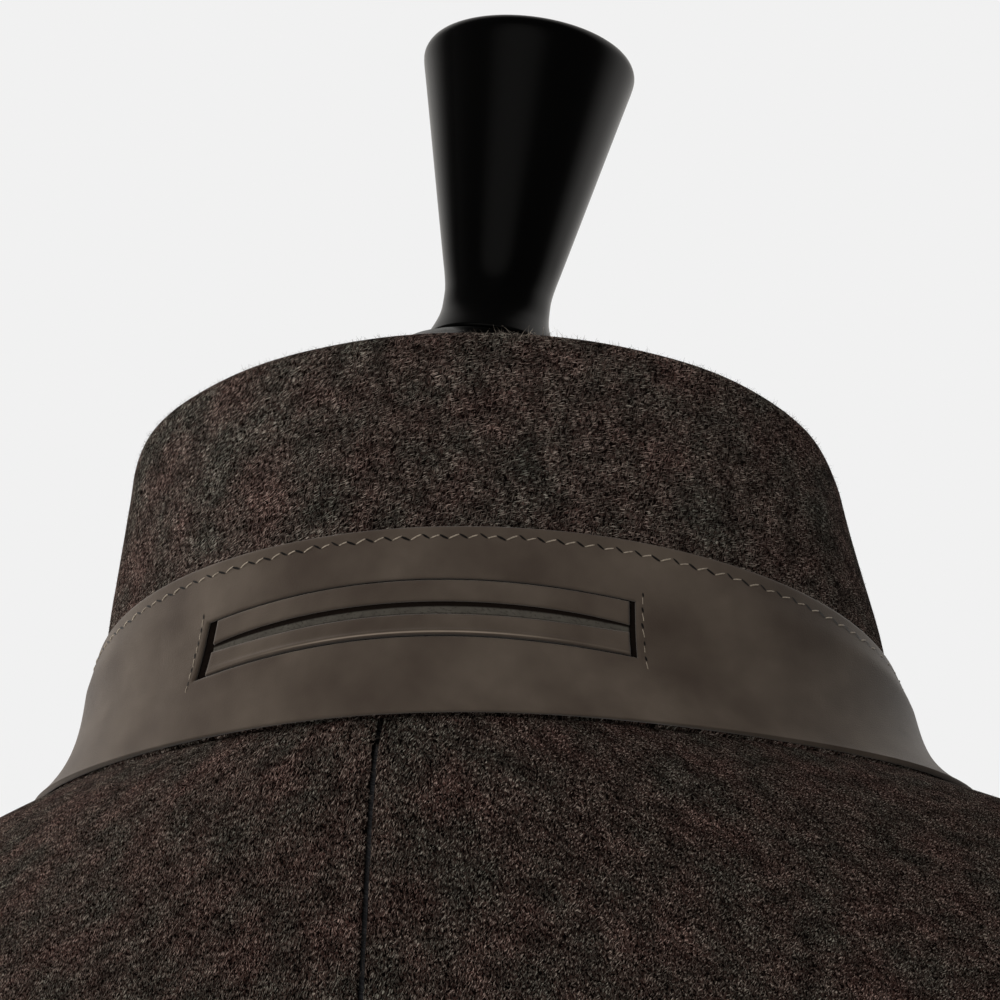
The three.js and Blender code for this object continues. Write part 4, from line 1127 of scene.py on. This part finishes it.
# %% Buttons
BUTTON_HEIGHTS = [1325, 1215, 1105, 995]
BUTTON_GAP, HOLE_SPREAD, HOLE_RADIUS, HOLE_DEPTHS = 0.6, 3.1, 1.2, (-1, 6)
BUTTON = [(0, 0), (11, 0), (12.5, 1.2), (12.5, 3), (11.6, 4.2), (9.8, 4.2), (8.6, 3.1), (0, 3.0)]
buttons = []
levels = np.linspace(0, NECKLINE, 4000)
closing_heights = lap_points(levels, 180.0 + 0 * levels)[:, 2]
for k, height_wanted in enumerate(BUTTON_HEIGHTS):
    level = levels[np.argmin(np.abs(closing_heights - height_wanted))]
    normal = Vector(outward(lap_points, np.float64(level), np.float64(180)))
    spot = Vector(lap_points(np.float64(level), np.float64(180))) + normal * BUTTON_GAP
    place = Matrix.Translation(spot) @ normal.to_track_quat("Z", "Y").to_matrix().to_4x4()
    disc = turned(f"horn_button_{k + 1}", softened(BUTTON), horn, place, 48)
    cutters = []
    for x, y in ((-1, -1), (1, -1), (1, 1), (-1, 1)):
        drill = Matrix.Translation((x * HOLE_SPREAD, y * HOLE_SPREAD, 0))
        cutters.append(turned("drill", [(HOLE_RADIUS, h) for h in HOLE_DEPTHS], horn, place @ drill, 16))
        cut = disc.modifiers.new("hole", "BOOLEAN")
        cut.object, cut.operation, cut.solver = cutters[-1], "DIFFERENCE", "EXACT"
    bpy.context.view_layer.update()
    plain = bpy.data.meshes.new_from_object(disc.evaluated_get(bpy.context.evaluated_depsgraph_get()))
    disc.modifiers.clear()
    disc.data = plain
    for cutter in cutters:
        bpy.data.objects.remove(cutter)
    buttons.append((disc, place))
print(len(buttons), "buttons")

# %% [markdown]
# ## Stitches
# A run of stitches is one short thread, arched over the surface, repeated along a line. The line
# is a guide whose points carry the surface's outward direction; Geometry Nodes resamples it at
# the stitch's pitch and places a leaning thread on each point, with the slanted cut of the awl
# after it, which is what makes hand stitching in leather zigzag. The cut is a flat near-black
# mark: painted shade of the awl's hole.

# %% Helpers for geometry nodes
GEOMETRY, MATERIAL, INT = "NodeSocketGeometry", "NodeSocketMaterial", "NodeSocketInt"
Y_AXIS, Z_AXIS = (0, 1, 0), (0, 0, 1)


def geometry_group(name, inputs):
    inputs = [("Geometry", GEOMETRY, None), *inputs]
    return node_group(name, "GeometryNodeTree", inputs, [("Geometry", GEOMETRY)])


def attribute(tree, name, kind):
    return first_out(tree, "GeometryNodeInputNamedAttribute", {"Name": name}, data_type=kind)


def about(tree, axis, angle):
    return first_out(tree, "FunctionNodeAxisAngleToRotation", {"Axis": axis, "Angle": angle})


def then_about(tree, rotation, axis, angle):
    """The rotation, and then a turn about one of its own axes."""
    return first_out(tree, "FunctionNodeRotateRotation", {0: rotation, 1: about(tree, axis, angle)},
                     rotation_space="LOCAL")


def stood_on(tree, normal, forward):
    """The turn that stands Z along the normal, and X as near to forward as that allows."""
    kind = "FunctionNodeAlignRotationToVector"
    standing = first_out(tree, kind, {"Vector": normal}, axis="Z")
    return first_out(tree, kind, {"Rotation": standing, "Vector": forward}, axis="X", pivot_axis="Z")


def chance(tree, low, high, seed):
    """A number that differs from point to point."""
    return put(tree, "FunctionNodeRandomValue", {2: low, 3: high, "Seed": seed}).outputs[1]


def in_material(tree, geometry, material):
    return first_out(tree, "GeometryNodeSetMaterial", {"Geometry": geometry, "Material": material})


def repeated(tree, points, instance, rotation, scale):
    placed = first_out(tree, "GeometryNodeInstanceOnPoints", {
        "Points": points, "Instance": instance, "Rotation": rotation, "Scale": scale})
    return first_out(tree, "GeometryNodeRealizeInstances", {0: placed})


# %% Stitch tree
CUT_LIFT, STITCH_SINK, STITCH_RISE, STITCH_SIZES = 0.00005, -1.2, 2.6, (0.88, 1.12)
stitch_tree, given, result = geometry_group("stitch_run", [
    ("Pitch", FLOAT, 0.004), ("Stitch", FLOAT, 0.0022), ("Thickness", FLOAT, 0.00014), ("Arch", FLOAT, 0.0002),
    ("Lean", FLOAT, 0.4), ("Uneven", FLOAT, 0.1), ("Cut", FLOAT, 0.0018), ("Cut width", FLOAT, 0.0003),
    ("Cut lean", FLOAT, -0.5), ("Seed", INT, 1), ("Thread", MATERIAL, None), ("Dark", MATERIAL, None)])
node, calc = partial(first_out, stitch_tree), partial(math_node, stitch_tree)
line = node("GeometryNodeMeshToCurve", {0: given["Geometry"]})
marks = node("GeometryNodeResampleCurve", {"Curve": line, "Length": given["Pitch"]}, mode="LENGTH")
half = calc("MULTIPLY", given["Stitch"], 0.5)
sunk, rise = (calc("MULTIPLY", given["Arch"], size) for size in (STITCH_SINK, STITCH_RISE))
ends = ((calc("MULTIPLY", half, -1.0), sunk), (0.0, rise), (half, sunk))
start, top, end = (node("ShaderNodeCombineXYZ", {0: x, 2: z}) for x, z in ends)
arc = node("GeometryNodeCurveQuadraticBezier", {"Resolution": 5, "Start": start, "Middle": top, "End": end})
profile = node("GeometryNodeCurvePrimitiveCircle", {"Resolution": 6, "Radius": given["Thickness"]})
strand = node("GeometryNodeCurveToMesh", {"Curve": arc, "Profile Curve": profile, "Fill Caps": True})
leaning_thread = node("GeometryNodeTransform", {
    "Geometry": in_material(stitch_tree, strand, given["Thread"]),
    "Rotation": about(stitch_tree, Z_AXIS, given["Lean"])})
# the awl's cut is a flat disc in the Dark finish: painted shade of the hole
cut = node("GeometryNodeMeshCircle", {"Vertices": 8, "Radius": 0.5}, fill_type="TRIANGLE_FAN")
placed_cut = node("GeometryNodeTransform", {
    "Geometry": cut,
    "Translation": node("ShaderNodeCombineXYZ", {0: calc("MULTIPLY", given["Pitch"], 0.5), 2: CUT_LIFT}),
    "Rotation": about(stitch_tree, Z_AXIS, given["Cut lean"]),
    "Scale": node("ShaderNodeCombineXYZ", {0: given["Cut"], 1: given["Cut width"], 2: 1.0})})
one_stitch = put(stitch_tree, "GeometryNodeJoinGeometry")
for made in (leaning_thread, in_material(stitch_tree, placed_cut, given["Dark"])):
    stitch_tree.links.new(made, one_stitch.inputs[0])
away = attribute(stitch_tree, "away", "FLOAT_VECTOR")
running = stood_on(stitch_tree, away, node("GeometryNodeInputTangent"))
swing = chance(stitch_tree, calc("MULTIPLY", given["Uneven"], -1.0), given["Uneven"], given["Seed"])
real = repeated(stitch_tree, marks, one_stitch.outputs[0], then_about(stitch_tree, running, Z_AXIS, swing),
                chance(stitch_tree, *STITCH_SIZES, given["Seed"]))
stitch_tree.links.new(real, result[0])


# %% Make a run of stitches
def grown(name, ground, tree, inputs):
    """The ground's modifier result as a plain mesh. inputs are set by their sockets' identifiers."""
    grower = ground.modifiers.new(name, "NODES")
    grower.node_group = tree
    for item in tree.interface.items_tree:
        if item.item_type == "SOCKET" and item.in_out == "INPUT" and item.name in inputs:
            grower[item.identifier] = inputs[item.name]
    bpy.context.view_layer.update()
    depsgraph = bpy.context.evaluated_depsgraph_get()
    mesh = bpy.data.meshes.new_from_object(ground.evaluated_get(depsgraph), depsgraph=depsgraph)
    mesh.name = name
    bpy.data.objects.remove(ground)
    print(f"{name}: {len(mesh.polygons)} faces")
    return linked(name, mesh)


def guide_object(lines):
    """A mesh of open lines, each a pair of points and outward directions, in millimetres."""
    mesh = bpy.data.meshes.new("guide")
    points = np.concatenate([line for line, _ in lines])
    starts = np.cumsum([0] + [len(line) for line, _ in lines])
    edges = [(k, k + 1) for a, b in zip(starts[:-1], starts[1:]) for k in range(a, b - 1)]
    mesh.from_pydata((points * MM).tolist(), edges, [])
    away = mesh.attributes.new("away", "FLOAT_VECTOR", "POINT")
    away.data.foreach_set("vector", np.concatenate([n for _, n in lines]).astype(np.float32).ravel())
    return linked("guide", mesh)


stitches = []


def stitched(name, lines, strand, inputs):
    inputs = {**inputs, "Thread": strand, "Dark": awl_hole_shade}
    stitches.append(grown(name, guide_object(lines), stitch_tree, inputs))


def collar_line(heights, angles, lift):
    heights, angles = np.broadcast_arrays(np.asarray(heights, float), np.asarray(angles, float))
    normal = outward(collar_points, heights, angles)
    return collar_points(heights, angles) + normal * lift, normal


# %% Topstitching on the band and beside the slot
TOP_STITCH_DOWN, TOP_STITCH_END, BAR_AWAY, BAR_BELOW, BAR_ABOVE = 2.2, 2, 0.95, 1.4, 0.4
edge_angles = np.linspace(-COLLAR_END + TOP_STITCH_END, COLLAR_END - TOP_STITCH_END, 400)
stitched("stitches_band", [collar_line(BAND_HEIGHT - TOP_STITCH_DOWN, edge_angles, ON_COLLAR)], thread, {
    "Pitch": 0.00395, "Stitch": 0.0022, "Thickness": 0.000145, "Arch": 0.00014, "Lean": 0.36, "Cut": 0.0021,
    "Cut width": 0.00044, "Cut lean": -0.5, "Seed": 3})
bar_heights = np.linspace(SLOT_BOTTOM - BAR_BELOW, SLOT_TOP + BAR_ABOVE, 30)
slot_ends = [collar_line(bar_heights, leaned(bar_heights, side * (SLOT_HALF_ANGLE + BAR_AWAY)), ON_COLLAR)
             for side in (-1, 1)]
stitched("stitches_slot", slot_ends, thread, {
    "Pitch": 0.0028, "Stitch": 0.0019, "Thickness": 0.00008, "Arch": 0.00010, "Lean": 0.1, "Cut": 0.0011,
    "Cut width": 0.0004, "Cut lean": 0.2, "Seed": 9})

# %% Thread through the buttons, and the ends of their buttonholes
THREAD_HEIGHT, THREAD_SPREAD, SLIT_LIFT, SLIT_SPREAD, SLIT_ENDS = 3.15, 0.45, 0.25, 0.9, (-16, 13)
crosses, slits = [], []
for _, place in buttons:
    outwards = np.array(place)[:3, 2]
    for y in (-HOLE_SPREAD, HOLE_SPREAD):
        for offset in (-THREAD_SPREAD, 0.0, THREAD_SPREAD):
            bar = [(x, y + offset, THREAD_HEIGHT) for x in np.linspace(-HOLE_SPREAD, HOLE_SPREAD, 5)]
            crosses.append((carried(bar, place), np.tile(outwards, (5, 1))))
    for edge in (-SLIT_SPREAD, SLIT_SPREAD):
        slit = [(x, edge, SLIT_LIFT - BUTTON_GAP) for x in np.linspace(*SLIT_ENDS, 40)]
        slits.append((carried(slit, place), np.tile(outwards, (40, 1))))
stitched("threads_buttons", crosses, dark_thread, {
    "Pitch": 0.0062, "Stitch": 0.0060, "Thickness": 0.00024, "Arch": 0.00018, "Lean": 0.0, "Uneven": 0.02,
    "Cut": 0.0004, "Seed": 5})
stitched("stitches_buttonholes", slits, dark_thread, {
    "Pitch": 0.0007, "Stitch": 0.0018, "Thickness": 0.00028, "Arch": 0.00018, "Lean": math.pi / 2,
    "Uneven": 0.1, "Cut": 0.0003, "Seed": 6})

# %% [markdown]
# ## Loose fibres
# Wool jersey is never quite smooth: short fibres stand off it, and they show most along the
# collar's upper edge and the shoulders. Hair strands would be lost in the export, so each fibre
# is a narrow bent ribbon of two faces. Geometry Nodes scatters them over the outer face, thickest
# where the picture is taken from, and leans them along the cloth.

# %% Fibre tree
FIBRE_BOW, FIBRE_TAPER, FIBRE_SIZES, LEAST_RISE = -0.3, -0.7, (0.4, 1.3), 0.02
FLIP_SEED, RISE_SEED, SIZE_SEED = 77, 31, 12
fuzz_tree, given, result = geometry_group("loose_fibres", [
    ("Density", FLOAT, 100000.0), ("Length", FLOAT, 0.003), ("Width", FLOAT, 0.00006), ("Rise", FLOAT, 0.5),
    ("Spread", FLOAT, 0.7), ("Lean", FLOAT, 0.0), ("Seed", INT, 1), ("Fibre", MATERIAL, None)])
node, calc = partial(first_out, fuzz_tree), partial(math_node, fuzz_tree)
density = calc("MULTIPLY", given["Density"], attribute(fuzz_tree, "fuzz", "FLOAT"))
roots = put(fuzz_tree, "GeometryNodeDistributePointsOnFaces", {
    "Mesh": given["Geometry"], "Density": density, "Seed": given["Seed"]}, distribute_method="RANDOM").outputs
ribbon = node("GeometryNodeMeshGrid", {
    "Size X": given["Length"], "Size Y": given["Width"], "Vertices X": 3, "Vertices Y": 2})
apart = put(fuzz_tree, "ShaderNodeSeparateXYZ", {0: node("GeometryNodeInputPosition")}).outputs
from_root = calc("MULTIPLY_ADD", given["Length"], 0.5, apart[0])
share = calc("DIVIDE", from_root, given["Length"])
bow = calc("MULTIPLY", calc("MULTIPLY", share, share), calc("MULTIPLY", given["Length"], FIBRE_BOW))
narrow = calc("MULTIPLY", apart[1], calc("MULTIPLY_ADD", share, FIBRE_TAPER, 1.0))
bent = node("ShaderNodeCombineXYZ", {0: from_root, 1: narrow, 2: bow})
curled = node("GeometryNodeSetPosition", {"Geometry": ribbon, "Position": bent})
lying = stood_on(fuzz_tree, roots["Normal"], attribute(fuzz_tree, "grain", "FLOAT_VECTOR"))
lean_low, lean_high = (calc(way, given["Lean"], given["Spread"]) for way in ("SUBTRACT", "ADD"))
flip = calc("ROUND", chance(fuzz_tree, -0.5, 1.5, FLIP_SEED))
heading = calc("ADD", chance(fuzz_tree, lean_low, lean_high, given["Seed"]), calc("MULTIPLY", flip, math.pi))
tilt = calc("MULTIPLY", chance(fuzz_tree, LEAST_RISE, given["Rise"], RISE_SEED), -1.0)
turn = then_about(fuzz_tree, then_about(fuzz_tree, lying, Z_AXIS, heading), Y_AXIS, tilt)
sown = repeated(fuzz_tree, roots[0], curled, turn, chance(fuzz_tree, *FIBRE_SIZES, SIZE_SEED))
fuzz_tree.links.new(in_material(fuzz_tree, sown, given["Fibre"]), result[0])


# %% Fibre colours and sowing
def fibre_finish(name, dark, light):
    made, tree, shader = finish(name, roughness=0.8, specular=0.2)
    cells = ramp(tree, noise(tree, in_object(tree), 420.0, 0.0), 0.3, 0.7)
    coloured(tree, shader, mixed(tree, cells, linear(*dark), linear(*light)))
    return made


fibre = fibre_finish("jersey_fibre", (20, 14, 12), (100, 91, 84))
pale_fibre = fibre_finish("pale_fibre", (60, 52, 46), (176, 166, 154))
fuzz = {}


def sow(part, name, sheet, mask, inputs):
    """Loose fibres over a sheet's grid of points, as thick as mask says, 0 to 1."""
    points = sheets[sheet]
    rows, columns = points.shape[:2]
    at = np.arange(rows * columns).reshape(rows, columns)
    if sheet.startswith("sleeve"):
        at = np.concatenate([at, at[:, :1]], 1)
    mesh = bpy.data.meshes.new(name)
    faces = np.stack([at[:-1, :-1], at[1:, :-1], at[1:, 1:], at[:-1, 1:]], -1).reshape(-1, 4)
    mesh.from_pydata((points.reshape(-1, 3) * MM).tolist(), [], faces.tolist())
    mesh.attributes.new("fuzz", "FLOAT", "POINT").data.foreach_set("value", mask.astype(np.float32).ravel())
    grain = unit(np.gradient(points, axis=0)).astype(np.float32)
    mesh.attributes.new("grain", "FLOAT_VECTOR", "POINT").data.foreach_set("vector", grain.ravel())
    fuzz[part] = grown(name, linked(name, mesh), fuzz_tree, {"Fibre": fibre, **inputs})


# %% Fibres on the coat
FEW, SHOULDERS, REAR = 0.035, (1325, 1370), (-40, 10)
PARTS = ("back_left", "back_right", "front_left", "front_right", "sleeve_left", "sleeve_right")
for seed, part in enumerate(PARTS):
    points = sheets[part]
    near = FEW + (1 - FEW) * smooth(points[..., 2], *SHOULDERS) * smooth(points[..., 1], *REAR)
    sow(part, f"fibres_{part}", part, near, {
        "Density": 720000.0, "Length": 0.0019, "Width": 0.00005, "Rise": 0.5, "Spread": 1.3, "Seed": seed + 1})

# %% Fibres on the collar
COLLAR_FEW, CREST_FEW, COLLAR_REAR, CREST_REACH = 0.12, 0.25, (-30, 5), (1.4, 2.6)
STRAY_FROM, STRAY_TO, STRAY_EASE = -26, -9, 5
up = run_lengths(sheets["collar_under"], 0)
behind = smooth(sheets["collar_under"][..., 1], *COLLAR_REAR)
near = smooth(up, BAND_HEIGHT - 1, BAND_HEIGHT + 2) * (COLLAR_FEW + (1 - COLLAR_FEW) * behind)
sow("collar_under", "fibres_collar_under", "collar_under", near, {
    "Density": 900000.0, "Length": 0.0016, "Width": 0.00005, "Rise": 0.5, "Spread": 1.4, "Lean": 0.6,
    "Seed": 20})
crest = (1 - smooth(up[-1:] - up, *CREST_REACH)) * (CREST_FEW + (1 - CREST_FEW) * behind)
sow("collar_top", "fibres_crest", "collar_under", crest, {
    "Density": 4200000.0, "Length": 0.0011, "Width": 0.00006, "Rise": 1.2, "Spread": 1.6, "Seed": 40})
stray = (crest * smooth(collar_angles, STRAY_FROM, STRAY_FROM + STRAY_EASE)
         * (1 - smooth(collar_angles, STRAY_TO - STRAY_EASE, STRAY_TO)))
sow("stray", "fibres_stray", "collar_under", stray, {
    "Density": 2600000.0, "Length": 0.0023, "Width": 0.00007, "Rise": 1.4, "Spread": 1.6, "Seed": 43,
    "Fibre": pale_fibre})

# %% [markdown]
# ## Which piece stands for which solid
# Every piece rides on the one body and replaces its solid, which is hidden.

# %% Ride and replace
SLOTS = {"collar_under": "collar_jersey", "collar_top": "collar_jersey", "collar_band": "nubuck",
         "slot_welt_upper": "nubuck", "slot_welt_lower": "nubuck", "slot_strip": "strip"}
shown = [(piece, SLOTS.get(node_name, "jersey"), node_name) for node_name, piece in coat.items()]
shown += [(torso, "form_cover", "form_torso"), (cap, "gloss_black", "form_neck_cap"),
          (knob, "gloss_black", "form_knob"), (pole, "stand_metal", "form_pole"),
          (base, "stand_metal", "form_base")]
shown += [(disc, "horn", f"button_{k + 1}") for k, (disc, _) in enumerate(buttons)]
shown += [(piece, "jersey", None) for piece in stitches] + [(slit_shade, "strip", None)]
shown += [(piece, SLOTS.get(part, "jersey"), None) for part, piece in fuzz.items()]
for piece, slot, node_name in shown:
    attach(piece, "root")
    if node_name:
        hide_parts(node_name)

# %% Sizes and the end
visual_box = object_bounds()
sizes = {"cad": cad_box, "visual": visual_box}
plain = {key: [[float(c) for c in corner] for corner in box] for key, box in sizes.items()}
print("visual box", visual_box)
